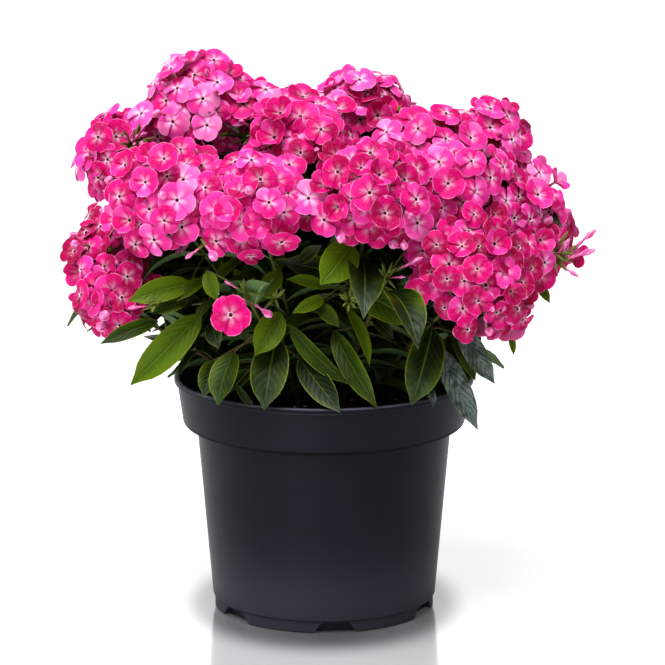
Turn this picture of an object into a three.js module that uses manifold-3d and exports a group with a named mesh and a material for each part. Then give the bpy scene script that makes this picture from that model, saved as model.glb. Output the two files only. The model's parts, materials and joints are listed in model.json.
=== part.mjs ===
/**
 * A garden phlox in its nursery pot.
 *
 * The pot holds a block of compost, and the plant's leafy stems stand in plain holes in it. Each stem
 * carries pairs of lance-shaped leaves and ends in a domed head of five-petalled florets, or in a small
 * spray of buds. Millimetres, +Z up. The origin is the centre of the pot's flat base. -Y is the front.
 */
import * as THREE from "three";
import { mergeVertices } from "three/addons/utils/BufferGeometryUtils.js";
import Module from "manifold-3d";

const wasm = await Module();
wasm.setup();

// ---------------------------------------------------------------- driving dimensions

const FACETS = 32; // round the pot and the compost
const GAP = 0.4; // clear distance between two pieces that touch

// Pot: a lip, a collar, and a body that tapers to a foot
const POT_HEIGHT = 182;
const LIP_RADIUS = 115;
const LIP_HEIGHT = 4;
const COLLAR_TOP_RADIUS = 112.5;
const COLLAR_FOOT_RADIUS = 108;
const COLLAR_HEIGHT = 36;
const BODY_TOP_RADIUS = 97.5;
const BODY_FOOT_RADIUS = 86;
const FOOT_RADIUS = 84.5;
const FOOT_HEIGHT = 10;
const WALL = 2;
const FLOOR = 2.5;
const CORNER_RADIUS = 70; // the base is a thin floor inside this, and a solid corner outside it

// Drainage notches through the corner of the base
const NOTCHES = 6;
const FIRST_NOTCH = 6; // degrees from the front, towards +X
const NOTCH_MOUTH = 36; // width at the outside
const NOTCH_THROAT = 18; // width at the back of the pocket
const NOTCH_HEIGHT = 8.5;
const NOTCH_THROAT_RADIUS = 77; // where the slanted sides end

// Compost
const COMPOST_TOP = 166;

// Stems
const STEM_RADIUS = 2;
const STEM_SIDES = 4;
const STEM_STEPS = 4;
const STEM_DEPTH = 24; // how far a stem goes into the compost
const CLUMP_SHARE = 0.3; // a stem starts this share of the way out to its head
const STEM_PIVOT = new THREE.Vector3(0, 0, 130); // stems end in line with this point

// Leaves
const LEAF_THICKNESS = 0.8;
const LEAF_FOLD = 0.17; // how far the edges rise, as a share of the width
const LEAF_CLEARANCE = 0.7;
const LEAF_LEAN = 0.6; // how far a blade's face turns outwards from the plant, as a slope
const LEAF_LENGTH = 76;
const LEAF_WIDTH = 28;
const LEAF_PAIR_SPACING = 47;
const LEAF_TRIES = 24;
const LOWEST_LEAF = 22; // above the compost's hole, along the stem

// Florets, heads and buds
const HEAD_PIVOT = new THREE.Vector3(0, 0, 195); // heads face away from this point
const FLORET_RADIUS = 20.5;
const FLORET_COVER = 0.8; // share of a head's cap that its florets cover
const EYE_DEPTH = 1.6; // how far a floret's eye lies below its face
const PETAL_TIP = { angle: THREE.MathUtils.degToRad(19), height: 0.5 }; // half a petal's blunt tip
const PETAL_CLEFT = { share: 0.62, height: -1.2 }; // between two petals: share of the radius
const CAP_ANGLE = THREE.MathUtils.degToRad(100); // from a head's axis to its lowest florets
const CORE_SHARE = 0.55; // radius of a head's core, as a share of the head's own
const ROOT_SHARE = 0.62; // how far out in the core a tube starts
const GOLDEN_ANGLE = Math.PI * (3 - Math.sqrt(5));
const TUBE_RADIUS = 2;
const BUD_RADIUS = 3.2;
const BUD_REACH = 7; // how far the buds of a tuft stand out past the florets
const TUFT_ANGLE = 0.62; // half the opening among the florets that a tuft of buds fills
const TUFT_BUDS = 5;
const SPRAY_CORE_RADIUS = 5;
const SPRAY_BUD_LENGTH = 22;
const SPRAY_ANGLE = 1.5; // from a spray's lean to its outermost buds
const SEED = 25;

// Flower heads: centre and radius. A head with a tuft still has a bunch of buds on that side.
const HEADS = [
  { name: "top_left", at: [-92, 25, 389], radius: 38 },
  { name: "top_left_inner", at: [-46, 12, 380], radius: 29 },
  { name: "left_high", at: [-157, 28, 348], radius: 36, tuft: [0.75, -0.6, 0.35] },
  { name: "front_left", at: [-115, -68, 329], radius: 44 },
  { name: "left_low", at: [-165, -14, 284], radius: 32 },
  { name: "left_foot", at: [-165, -54, 247], radius: 29 },
  { name: "front_middle_left", at: [-50, -96, 331], radius: 37 },
  { name: "middle", at: [-14, -26, 368], radius: 38 },
  { name: "top_middle", at: [32, 52, 382], radius: 33 },
  { name: "front_middle_right", at: [38, -98, 337], radius: 41 },
  { name: "right_middle_high", at: [76, -4, 366], radius: 36 },
  { name: "right_middle", at: [94, -60, 333], radius: 30 },
  { name: "top_right", at: [134, 46, 353], radius: 34 },
  { name: "right_front_high", at: [138, -22, 324], radius: 32 },
  { name: "right_side", at: [166, 26, 304], radius: 31, tuft: [0.9, -0.4, -0.2] },
  { name: "right_foot", at: [165, -30, 276], radius: 25 },
  { name: "front_right", at: [118, -100, 279], radius: 44, tuft: [-0.85, -0.5, -0.1] },
  { name: "far_left", at: [-122, 104, 322], radius: 43 },
  { name: "far_middle_left", at: [-42, 92, 356], radius: 40 },
  { name: "far_middle_right", at: [42, 112, 334], radius: 42 },
  { name: "far_right", at: [116, 110, 312], radius: 41 },
  { name: "far_right_side", at: [174, 84, 264], radius: 35 },
  { name: "far_left_side", at: [-172, 66, 274], radius: 38 },
  { name: "back_left", at: [-70, 132, 266], radius: 41 },
  { name: "back_right", at: [36, 134, 252], radius: 40 },
];

// Small sprays on shoots of their own
const SPRAYS = [
  { name: "front_bloom", at: [-58, -120, 272], lean: [-0.45, -0.75, -0.5], buds: 4, florets: 1 },
  { name: "front_buds", at: [53, -128, 288], lean: [0.4, -0.7, 0.1], buds: 6, florets: 0 },
];

// The large leaves that show at the front: the stem, the share of its length where it sits, and the tip
const SHOWN_LEAVES = [
  { stem: "front_left", at: 0.76, tip: [-150, -78, 256], width: 25 },
  { stem: "front_left", at: 0.66, tip: [-106, -112, 262], width: 23 },
  { stem: "front_left", at: 0.34, tip: [-84, -114, 187], width: 27 },
  { stem: "front_middle_left", at: 0.52, tip: [-51, -124, 226], width: 27 },
  { stem: "front_middle_left", at: 0.36, tip: [-44, -130, 184], width: 29 },
  { stem: "front_middle_left", at: 0.46, tip: [15, -98, 204], width: 25 },
  { stem: "front_middle_left", at: 0.3, tip: [12, -132, 183], width: 28 },
  { stem: "front_middle_right", at: 0.74, tip: [2, -128, 281], width: 27 },
  { stem: "front_middle_right", at: 0.6, tip: [69, -112, 246], width: 29 },
  { stem: "front_middle_right", at: 0.46, tip: [35, -116, 218], width: 22 },
  { stem: "front_middle_right", at: 0.32, tip: [40, -130, 187], width: 27 },
  { stem: "front_right", at: 0.55, tip: [66, -128, 188], width: 29 },
  { stem: "left_foot", at: 0.52, tip: [-143, -72, 191], width: 28 },
  { stem: "left_foot", at: 0.7, tip: [-168, -66, 218], width: 24 },
  { stem: "right_foot", at: 0.5, tip: [119, -56, 156], width: 27 },
  { stem: "right_foot", at: 0.62, tip: [129, -70, 192], width: 25 },
];

// ---------------------------------------------------------------- helpers

/** Seeded random numbers from 0 to 1, so that every run grows the same plant. */
function randomFrom(seed) {
  let state = seed >>> 0;
  return () => {
    state = (state + 0x6d2b79f5) >>> 0;
    let t = Math.imul(state ^ (state >>> 15), 1 | state);
    t = (t + Math.imul(t ^ (t >>> 7), 61 | t)) ^ t;
    return ((t ^ (t >>> 14)) >>> 0) / 4294967296;
  };
}

/** A closed three.js geometry as a manifold-3d solid. */
function solidOf(geometry) {
  const bare = geometry.index ? geometry.toNonIndexed() : geometry.clone();
  for (const name of Object.keys(bare.attributes)) {
    if (name !== "position") bare.deleteAttribute(name);
  }
  const merged = mergeVertices(bare, 1e-4);
  return new wasm.Manifold(
    new wasm.Mesh({
      numProp: 3,
      vertProperties: merged.attributes.position.array,
      triVerts: new Uint32Array(merged.index.array),
    }),
  );
}

/** A manifold-3d solid as a three.js geometry. */
function geometryOf(solid) {
  const mesh = solid.getMesh();
  const position = new Float32Array(mesh.numVert * 3);
  for (let i = 0; i < mesh.numVert; i++) {
    const from = i * mesh.numProp;
    position.set(mesh.vertProperties.subarray(from, from + 3), i * 3);
  }
  const geometry = new THREE.BufferGeometry();
  geometry.setAttribute("position", new THREE.BufferAttribute(position, 3));
  geometry.setIndex(new THREE.BufferAttribute(new Uint32Array(mesh.triVerts), 1));
  geometry.computeVertexNormals();
  return geometry;
}

/** A solid from its corner points and its faces, each a list of three point numbers. */
function solidFromFaces(points, faces) {
  const geometry = new THREE.BufferGeometry();
  const flat = points.flatMap((p) => [p.x, p.y, p.z]);
  geometry.setAttribute("position", new THREE.Float32BufferAttribute(flat, 3));
  geometry.setIndex(faces.flat());
  return solidOf(geometry);
}

/** A solid of revolution about Z, from a profile of [radius, height] points. */
function turned(profile) {
  const points = profile.map(([radius, height]) => new THREE.Vector2(radius, height));
  return solidOf(new THREE.LatheGeometry(points, FACETS).rotateX(Math.PI / 2));
}

/** Points spaced evenly round a circle about Z. */
function ring(radius, height, count) {
  return Array.from({ length: count }, (_, i) => {
    const angle = (i * 2 * Math.PI) / count;
    return new THREE.Vector3(radius * Math.cos(angle), radius * Math.sin(angle), height);
  });
}

/** The turn and shift that carry local +Z to a direction, at a place. */
function placedAlong(direction, place, spin = 0) {
  const turn = new THREE.Quaternion().setFromUnitVectors(new THREE.Vector3(0, 0, 1), direction);
  turn.multiply(new THREE.Quaternion().setFromAxisAngle(new THREE.Vector3(0, 0, 1), spin));
  return new THREE.Matrix4().compose(place, turn, new THREE.Vector3(1, 1, 1)).toArray();
}

/** True if a solid meets none of the others. */
function clearOf(solid, others) {
  const box = solid.boundingBox();
  return others.every((other) => {
    const b = other.boundingBox();
    const apart = [0, 1, 2].some((i) => box.min[i] > b.max[i] || box.max[i] < b.min[i]);
    return apart || solid.intersect(other).isEmpty();
  });
}

// ---------------------------------------------------------------- pot and compost

const COLLAR_FOOT = POT_HEIGHT - COLLAR_HEIGHT;

/** The pocket that one drainage notch takes out of the pot's corner, at the front. */
function notchPocket() {
  const outside = BODY_FOOT_RADIUS + 2;
  const inside = CORNER_RADIUS - 4;
  const plan = new THREE.Shape([
    new THREE.Vector2(-NOTCH_THROAT / 2, -inside),
    new THREE.Vector2(-NOTCH_THROAT / 2, -NOTCH_THROAT_RADIUS),
    new THREE.Vector2(-NOTCH_MOUTH / 2, -outside),
    new THREE.Vector2(NOTCH_MOUTH / 2, -outside),
    new THREE.Vector2(NOTCH_THROAT / 2, -NOTCH_THROAT_RADIUS),
    new THREE.Vector2(NOTCH_THROAT / 2, -inside),
  ]);
  const prism = new THREE.ExtrudeGeometry(plan, { depth: NOTCH_HEIGHT + 1, bevelEnabled: false });
  return solidOf(prism.translate(0, 0, -1));
}

function pot() {
  const pocket = notchPocket();
  let body = turned([
    [0, 0],
    [FOOT_RADIUS, 0],
    [FOOT_RADIUS, FOOT_HEIGHT - 1],
    [BODY_FOOT_RADIUS, FOOT_HEIGHT],
    [BODY_TOP_RADIUS, COLLAR_FOOT - 2],
    [COLLAR_FOOT_RADIUS, COLLAR_FOOT],
    [COLLAR_TOP_RADIUS, POT_HEIGHT - LIP_HEIGHT],
    [LIP_RADIUS, POT_HEIGHT - LIP_HEIGHT + 1],
    [LIP_RADIUS - 0.5, POT_HEIGHT],
    [LIP_RADIUS - 3.5, POT_HEIGHT],
    [COLLAR_FOOT_RADIUS - WALL, COLLAR_FOOT + WALL],
    [BODY_TOP_RADIUS - WALL, COLLAR_FOOT - WALL],
    [BODY_FOOT_RADIUS - WALL, FOOT_HEIGHT + WALL],
    [CORNER_RADIUS, FLOOR],
    [0, FLOOR],
  ]);
  for (let i = 0; i < NOTCHES; i++) {
    body = body.subtract(pocket.rotate([0, 0, FIRST_NOTCH + (i * 360) / NOTCHES]));
  }
  return body;
}

/** The block of compost that fills the pot. */
function compost() {
  const topRadius = COLLAR_FOOT_RADIUS - WALL - GAP;
  return turned([
    [0, FLOOR + GAP],
    [CORNER_RADIUS - GAP, FLOOR + GAP],
    [BODY_FOOT_RADIUS - WALL - GAP, FOOT_HEIGHT + WALL + GAP],
    [BODY_TOP_RADIUS - WALL - GAP, COLLAR_FOOT - WALL + GAP],
    [topRadius, COLLAR_FOOT + WALL + GAP],
    [topRadius, COMPOST_TOP],
    [0, COMPOST_TOP],
  ]);
}

// ---------------------------------------------------------------- florets, buds and heads

/** One floret facing +Z: five blunt petals round a sunken eye, over a three-sided tube. */
function floret(radius, tubeLength) {
  const eye = new THREE.Vector3(0, 0, -EYE_DEPTH);
  const rim = [];
  for (let petal = 0; petal < 5; petal++) {
    const middle = (petal * 2 * Math.PI) / 5;
    const outline = [
      [middle - Math.PI / 5, PETAL_CLEFT.share * radius, PETAL_CLEFT.height],
      [middle - PETAL_TIP.angle, radius, PETAL_TIP.height],
      [middle + PETAL_TIP.angle, radius, PETAL_TIP.height],
    ];
    for (const [angle, r, z] of outline) {
      rim.push(new THREE.Vector3(r * Math.cos(angle), r * Math.sin(angle), z));
    }
  }
  const sides = 3;
  const neck = ring(TUBE_RADIUS, -0.4 * radius, sides);
  const foot = ring(TUBE_RADIUS, -tubeLength, sides);
  const points = [eye, ...rim, ...neck, ...foot];
  const rimAt = (i) => 1 + (i % rim.length);
  const neckAt = (i) => 1 + rim.length + (i % sides);
  const footAt = (i) => neckAt(i) + sides;
  const faces = rim.map((_, i) => [0, rimAt(i), rimAt(i + 1)]);
  const share = rim.length / sides;
  for (let i = 0; i < sides; i++) {
    for (let j = i * share; j < (i + 1) * share; j++) faces.push([neckAt(i), rimAt(j + 1), rimAt(j)]);
    faces.push([neckAt(i), neckAt(i + 1), rimAt((i + 1) * share)]);
    faces.push([neckAt(i), footAt(i), footAt(i + 1)], [neckAt(i), footAt(i + 1), neckAt(i + 1)]);
  }
  faces.push([footAt(0), footAt(2), footAt(1)]);
  return solidFromFaces(points, faces);
}

/** One bud along +Z: a slim tube that swells and closes to a point. */
function bud(length, radius) {
  const sides = 3;
  const swell = Math.min(14, 0.6 * length);
  const points = [
    ...ring(0.4 * radius, 0, sides),
    ...ring(0.45 * radius, length - swell, sides),
    ...ring(radius, length - 0.45 * swell, sides),
    new THREE.Vector3(0, 0, length),
  ];
  const tip = points.length - 1;
  const faces = [[0, 2, 1]];
  for (let i = 0; i < sides; i++) {
    const next = (i + 1) % sides;
    for (let a = 0; a < 2 * sides; a += sides) {
      const b = a + sides;
      faces.push([a + i, a + next, b + next], [a + i, b + next, b + i]);
    }
    faces.push([2 * sides + i, 2 * sides + next, tip]);
  }
  return solidFromFaces(points, faces);
}

/** Directions spread evenly over the cap round an axis, by the golden angle. */
function capDirections(axis, count, capAngle, phase) {
  const turn = new THREE.Quaternion().setFromUnitVectors(new THREE.Vector3(0, 0, 1), axis);
  return Array.from({ length: count }, (_, i) => {
    const cosine = 1 - ((i + 0.5) / count) * (1 - Math.cos(capAngle));
    const sine = Math.sqrt(1 - cosine * cosine);
    const angle = i * GOLDEN_ANGLE + phase;
    const direction = new THREE.Vector3(sine * Math.cos(angle), sine * Math.sin(angle), cosine);
    return direction.applyQuaternion(turn);
  });
}

/** Buds that stand out from a point, each left off if it would meet a neighbour. */
function budsAt({ centre, directions, from, length }, neighbours) {
  return directions.flatMap((direction, i) => {
    const place = centre.clone().addScaledVector(direction, from);
    const matrix = placedAlong(direction, place, i);
    const reach = length * (i % 2 ? 0.82 : 1);
    const grown = bud(reach + 2, BUD_RADIUS + 1).transform(matrix);
    return clearOf(grown, neighbours) ? [bud(reach, BUD_RADIUS).transform(matrix)] : [];
  });
}

/** The core that a head's florets grow from. */
function headCore({ centre, radius }, share) {
  return solidOf(new THREE.IcosahedronGeometry(share * radius, 0)).translate(centre.toArray());
}

/** A dome of florets that stand out of a smaller core, clear of the pieces around it. */
function flowerHead(head, neighbours, random) {
  const { centre, axis, radius, tuft } = head;
  const capArea = 2 * (1 - Math.cos(CAP_ANGLE)) * radius ** 2;
  const count = Math.round((FLORET_COVER * capArea) / (FLORET_RADIUS * FLORET_RADIUS));
  const coreRadius = CORE_SHARE * radius;
  const pieces = [headCore(head, CORE_SHARE)];
  capDirections(axis, count, CAP_ANGLE, random() * 2 * Math.PI).forEach((direction, i) => {
    const reach = radius - 2 - (i % 2) * 3;
    const spin = random() * 2 * Math.PI;
    if (tuft && direction.angleTo(tuft) < TUFT_ANGLE) return;
    for (const shrink of [1, 0.82, 0.66]) {
      const size = FLORET_RADIUS * shrink;
      const sunk = reach - (1 - shrink) * 8;
      const matrix = placedAlong(direction, centre.clone().addScaledVector(direction, sunk), spin);
        const tube = sunk - ROOT_SHARE * coreRadius;
      const grown = floret(size + 1, tube).transform(matrix);
      const shifts = [-GAP, GAP].map((shift) => direction.clone().multiplyScalar(shift).toArray());
      if (!shifts.every((shift) => clearOf(grown.translate(shift), neighbours))) continue;
      pieces.push(floret(size, tube).transform(matrix));
      return;
    }
  });
  if (tuft) {
    const directions = capDirections(tuft, TUFT_BUDS, TUFT_ANGLE, 0);
    const from = ROOT_SHARE * coreRadius;
    const length = radius + BUD_REACH - from;
    pieces.push(...budsAt({ centre, directions, from, length }, neighbours));
  }
  return wasm.Manifold.union(pieces);
}

/** A small spray: buds, and perhaps an open floret, round a little core. */
function spray({ centre, axis, buds, florets }, neighbours) {
  const core = headCore({ centre, radius: SPRAY_CORE_RADIUS }, 1);
  const directions = capDirections(axis, buds + florets, SPRAY_ANGLE, 1);
  const open = directions.slice(0, florets).map((direction) => {
    const place = centre.clone().addScaledVector(direction, 24);
    return floret(0.72 * FLORET_RADIUS, 21).transform(placedAlong(direction, place));
  });
  const from = 0.5 * SPRAY_CORE_RADIUS;
  const closed = { centre, directions: directions.slice(florets), from, length: SPRAY_BUD_LENGTH };
  return wasm.Manifold.union([core, ...open, ...budsAt(closed, neighbours)]);
}

// ---------------------------------------------------------------- stems and leaves

/** A stem of this radius along its path. */
function stemAlong(path, radius) {
  const corners = ring(radius, 0, STEM_SIDES).map((p) => new THREE.Vector2(p.x, p.y));
  const options = { steps: STEM_STEPS, bevelEnabled: false, extrudePath: path };
  return solidOf(new THREE.ExtrudeGeometry(new THREE.Shape(corners), options));
}

/** The path of a stem from the compost up into its bloom, bowed sideways by this much. */
function stemPath(bloom, sideways) {
  const outward = new THREE.Vector3(bloom.centre.x, bloom.centre.y, 0);
  const foot = outward.clone().multiplyScalar(CLUMP_SHARE).setZ(COMPOST_TOP - STEM_DEPTH);
  const side = new THREE.Vector3(-outward.y, outward.x, 0).normalize().multiplyScalar(sideways);
  const end = bloom.centre.clone().addScaledVector(bloom.rise, -bloom.stop);
  const pull = 0.4 * (end.z - foot.z);
  return new THREE.CubicBezierCurve3(
    foot,
    foot.clone().add(side).add(new THREE.Vector3(0, 0, pull)),
    end.clone().add(side).addScaledVector(bloom.rise, -pull),
    end,
  );
}

/** The vector of this length that points this way round from +X and this far up. */
function towards(azimuth, slope, length) {
  const level = Math.cos(slope);
  return new THREE.Vector3(Math.cos(azimuth) * level, Math.sin(azimuth) * level, Math.sin(slope))
    .multiplyScalar(length);
}

/**
 * One lance-shaped blade from a root point to its tip: arched along its midrib, folded up at its edges,
 * widest before its middle, and turned a little to face out of the plant.
 */
function leafBlade({ root, tip, width, thickness }) {
  const chord = tip.clone().sub(root).normalize();
  const outward = new THREE.Vector3(root.x, root.y, 0).normalize();
  const facing = new THREE.Vector3(0, 0, 1).addScaledVector(outward, LEAF_LEAN);
  const across = facing.cross(chord).normalize();
  const up = chord.cross(across);
  const arch = 0.14 * root.distanceTo(tip);
  const midrib = new THREE.QuadraticBezierCurve3(
    root,
    root.clone().lerp(tip, 0.5).addScaledVector(up, 2 * arch),
    tip,
  );
  const faceOf = (side) =>
    [[0, 0], [0.4, 1], [0.74, 0.76], [1, 0]].flatMap(([along, share]) => {
      const lifted = midrib.getTangent(along).cross(across).normalize();
      const middle = midrib.getPoint(along).addScaledVector(lifted, (side * thickness) / 2);
      if (share === 0) return [middle];
      return [-0.5, 0, 0.5].map((offset) => {
        const rise = offset === 0 ? 0 : LEAF_FOLD * share * width;
        const point = middle.clone().addScaledVector(across, offset * share * width);
        return point.addScaledVector(lifted, rise);
      });
    });
  const upper = [[0, 1, 2], [0, 2, 3], [1, 4, 2], [2, 4, 5], [2, 5, 3], [3, 5, 6], [4, 7, 5], [5, 7, 6]];
  const outline = [0, 1, 4, 7, 6, 3];
  const count = 8;
  const lower = upper.map(([a, b, c]) => [a + count, c + count, b + count]);
  const edge = outline.flatMap((a, i) => {
    const b = outline[(i + 1) % outline.length];
    return [[a, a + count, b], [b, a + count, b + count]];
  });
  return solidFromFaces([...faceOf(1), ...faceOf(-1)], [...upper, ...edge, ...lower]);
}

/** Adds a leaf to a stem, bent up and aside until it is clear of the other pieces, or left off. */
function addLeaf(stem, { root, azimuth, slope, length, width }, others) {
  for (let attempt = 0; attempt < LEAF_TRIES; attempt++) {
    const swing = [0, 0.2, -0.2][attempt % 3];
    const raise = 0.1 * Math.floor(attempt / 3);
    const size = attempt < LEAF_TRIES / 2 ? 1 : 0.82;
    const bladeTo = (margin) => {
      const reach = towards(azimuth + swing, slope + raise, length * size + margin);
      return leafBlade({
        root,
        tip: root.clone().add(reach),
        width: width * size + 2 * margin,
        thickness: LEAF_THICKNESS + 2 * margin,
      });
    };
    if (!clearOf(bladeTo(LEAF_CLEARANCE), others)) continue;
    stem.solid = stem.solid.add(bladeTo(0));
    return true;
  }
  return false;
}

/** A leaf that is given by its tip. */
function leafTo(root, tip, width) {
  const reach = tip.clone().sub(root);
  const length = reach.length();
  const azimuth = Math.atan2(reach.y, reach.x);
  return { root, azimuth, slope: Math.asin(reach.z / length), length, width };
}

/** The leaves that a stem grows by rule: pairs that alternate, with none on the shaded side. */
function ruledLeaves({ path, bloom }, random) {
  const length = path.getLength();
  const first = (STEM_DEPTH + LOWEST_LEAF) / length;
  const last = 1 - (bloom.leafStop + 8) / length;
  const spans = Math.max(1, Math.round(((last - first) * length) / LEAF_PAIR_SPACING));
  const outward = Math.atan2(bloom.centre.y, bloom.centre.x);
  const leaves = [];
  for (let pair = 0; pair <= spans; pair++) {
    const height = pair / spans;
    const root = path.getPointAt(first + (last - first) * height);
    const turn = outward + (pair % 2) * (Math.PI / 2) + 0.6 * (random() - 0.5);
    for (const azimuth of [turn, turn + Math.PI]) {
      const outwardness = Math.cos(azimuth - outward);
      const slope = -0.1 - 0.45 * Math.max(0, outwardness) + 0.35 * (random() - 0.5);
      const size = 0.88 + 0.24 * random() - 0.1 * height;
      if (outwardness < -0.4) continue;
      leaves.push({ root, azimuth, slope, length: LEAF_LENGTH * size, width: LEAF_WIDTH * size });
    }
  }
  return leaves;
}

// ---------------------------------------------------------------- the plant

const finish = {
  pot: new THREE.MeshStandardMaterial({ color: 0x2a2b31, roughness: 0.45, metalness: 0 }),
  compost: new THREE.MeshStandardMaterial({ color: 0x1d140d, roughness: 1, metalness: 0 }),
  leaf: new THREE.MeshStandardMaterial({ color: 0x3c5f14, roughness: 0.55, metalness: 0 }),
  petal: new THREE.MeshStandardMaterial({ color: 0xe82a86, roughness: 0.6, metalness: 0 }),
};
const random = randomFrom(SEED);
const plant = new THREE.Group();

function addMesh(name, solid, material) {
  const mesh = new THREE.Mesh(geometryOf(solid), material);
  mesh.name = name;
  plant.add(mesh);
}

/** Makes each bloom in turn, clear of those before it. */
function growBlooms() {
  const blooms = [];
  const solids = () => blooms.map((b) => b.solid);
  const heads = HEADS.map(({ name, at, radius, tuft }) => {
    const centre = new THREE.Vector3(...at);
    const axis = centre.clone().sub(HEAD_PIVOT).normalize();
    return { name, centre, axis, radius, tuft: tuft && new THREE.Vector3(...tuft).normalize() };
  });
  heads.forEach((head, i) => {
    const laterCores = heads.slice(i + 1).map((later) => headCore(later, CORE_SHARE + 0.03));
    const solid = flowerHead(head, [...solids(), ...laterCores], random);
    const rise = head.centre.clone().sub(STEM_PIVOT).normalize();
    blooms.push({ ...head, solid, rise, stop: 0.35 * CORE_SHARE * head.radius, leafStop: head.radius });
  });
  for (const { name, at, lean, buds, florets } of SPRAYS) {
    const centre = new THREE.Vector3(...at);
    const axis = new THREE.Vector3(...lean).normalize();
    const solid = spray({ centre, axis, buds, florets }, solids());
    const rise = centre.clone().sub(STEM_PIVOT).normalize();
    blooms.push({ name, centre, solid, rise, stop: 0.2 * SPRAY_CORE_RADIUS, leafStop: 14 });
  }
  return blooms;
}

/** Gives each bloom a bare stem, taking the first of its bows that clears every other piece. */
function growStems(blooms, potSolid) {
  const stems = [];
  for (const bloom of blooms) {
    const others = [potSolid, ...blooms.filter((b) => b !== bloom).map((b) => b.solid)];
    others.push(...stems.map((s) => s.solid));
    const isClear = (bow) => clearOf(stemAlong(stemPath(bloom, bow), STEM_RADIUS + 0.8), others);
    const bow = [0, 10, -10, 20, -20, 30, -30, 40, -40].find(isClear);
    if (bow === undefined) throw new Error(`no clear way for the stem of ${bloom.name}`);
    const path = stemPath(bloom, bow);
    stems.push({ bloom, path, solid: stemAlong(path, STEM_RADIUS) });
  }
  return stems;
}

const potSolid = pot();
const blooms = growBlooms();
const stems = growStems(blooms, potSolid);

let ground = compost();
for (const { bloom, path } of stems) {
  const socket = stemAlong(path, STEM_RADIUS + GAP);
  ground = ground.subtract(socket);
  bloom.solid = bloom.solid.subtract(socket);
}

const othersOf = (stem) => [
  potSolid,
  ground,
  ...blooms.map((b) => b.solid),
  ...stems.filter((s) => s !== stem).map((s) => s.solid),
];
for (const { stem: name, at, tip, width } of SHOWN_LEAVES) {
  const stem = stems.find((s) => s.bloom.name === name);
  const leaf = leafTo(stem.path.getPointAt(at), new THREE.Vector3(...tip), width);
  if (!addLeaf(stem, leaf, othersOf(stem))) throw new Error(`no room for a shown leaf of ${name}`);
}
for (const stem of stems) {
  for (const leaf of ruledLeaves(stem, random)) addLeaf(stem, leaf, othersOf(stem));
}

addMesh("pot", potSolid, finish.pot);
addMesh("compost", ground, finish.compost);
for (const { bloom, solid } of stems) {
  addMesh(`stem_${bloom.name}`, solid, finish.leaf);
  addMesh(`bloom_${bloom.name}`, bloom.solid, finish.petal);
}

export default plant;
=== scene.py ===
# %% [markdown]
# # A phlox plant in its pot
# The plant is a garden phlox grown on in a five-litre nursery pot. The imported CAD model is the
# fixed frame: it says where the pot, the compost, each stem and each flower head is. Every
# step below makes one real piece over that frame, in metres, and says why it is made that way.

# %% Load the frame
import itertools
import json
import math
import random

import bpy
import numpy as np
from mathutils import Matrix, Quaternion, Vector
from mathutils.kdtree import KDTree

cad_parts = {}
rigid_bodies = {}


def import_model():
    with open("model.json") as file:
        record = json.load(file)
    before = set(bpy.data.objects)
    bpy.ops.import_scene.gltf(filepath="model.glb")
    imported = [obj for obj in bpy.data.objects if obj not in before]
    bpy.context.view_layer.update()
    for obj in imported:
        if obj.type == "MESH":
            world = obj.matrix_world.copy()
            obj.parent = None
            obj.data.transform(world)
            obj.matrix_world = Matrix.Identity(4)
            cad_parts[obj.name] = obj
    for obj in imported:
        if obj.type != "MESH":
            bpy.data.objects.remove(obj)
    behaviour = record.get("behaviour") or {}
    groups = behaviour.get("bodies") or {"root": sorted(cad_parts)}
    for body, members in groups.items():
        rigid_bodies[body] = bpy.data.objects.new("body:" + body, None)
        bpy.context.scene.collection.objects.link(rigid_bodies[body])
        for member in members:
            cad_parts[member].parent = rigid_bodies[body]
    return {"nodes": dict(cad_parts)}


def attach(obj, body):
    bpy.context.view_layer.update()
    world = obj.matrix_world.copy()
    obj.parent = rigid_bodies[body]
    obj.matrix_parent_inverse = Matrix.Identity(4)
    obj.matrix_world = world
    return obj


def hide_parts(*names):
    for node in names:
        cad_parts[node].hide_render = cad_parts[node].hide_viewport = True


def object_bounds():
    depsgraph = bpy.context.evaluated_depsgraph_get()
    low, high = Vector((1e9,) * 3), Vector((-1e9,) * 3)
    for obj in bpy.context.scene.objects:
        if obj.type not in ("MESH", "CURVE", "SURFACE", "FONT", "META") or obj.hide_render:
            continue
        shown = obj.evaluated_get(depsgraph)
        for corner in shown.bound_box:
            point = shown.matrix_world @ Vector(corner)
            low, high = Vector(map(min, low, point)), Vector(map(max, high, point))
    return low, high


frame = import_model()
cad_low, cad_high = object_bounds()
MM = 0.001
print("CAD box in mm", [round(v / MM, 1) for v in (*cad_low, *cad_high)])

# %% [markdown]
# ## The camera
# A long lens from three metres keeps the pot's walls almost parallel. It looks slightly down, so
# that the rim reads as a thin ellipse and the flower domes are seen from just above their edges.

# %% Camera
AIM = Vector((0.0065, 0.0, 0.2144))
CAMERA_DISTANCE = 3.0
CAMERA_RISE = math.radians(12.752)
CAMERA_LENS = 212.1
SENSOR_WIDTH = 36.0

camera_data = bpy.data.cameras.new("camera")
camera_data.lens = CAMERA_LENS
camera_data.sensor_width = SENSOR_WIDTH
camera = bpy.data.objects.new("camera", camera_data)
camera.location = AIM + CAMERA_DISTANCE * Vector((0, -math.cos(CAMERA_RISE), math.sin(CAMERA_RISE)))
camera.rotation_euler = (math.pi / 2 - CAMERA_RISE, 0, 0)
bpy.context.collection.objects.link(camera)
bpy.context.scene.camera = camera
print("camera at", [round(v, 3) for v in camera.location])

# %% [markdown]
# ## Shader maths as Python
# A finish is easier to read as a formula than as a heap of nodes. `Wire` wraps one socket and
# overloads the operators, so `1 - mask * 0.5` adds the Math nodes it needs. `Nodes.add` makes any
# other node from its type, its settings and its inputs, in shader and geometry trees alike. Two
# that come up often, one number of a vector and a smooth ramp, have short names of their own.

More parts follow.
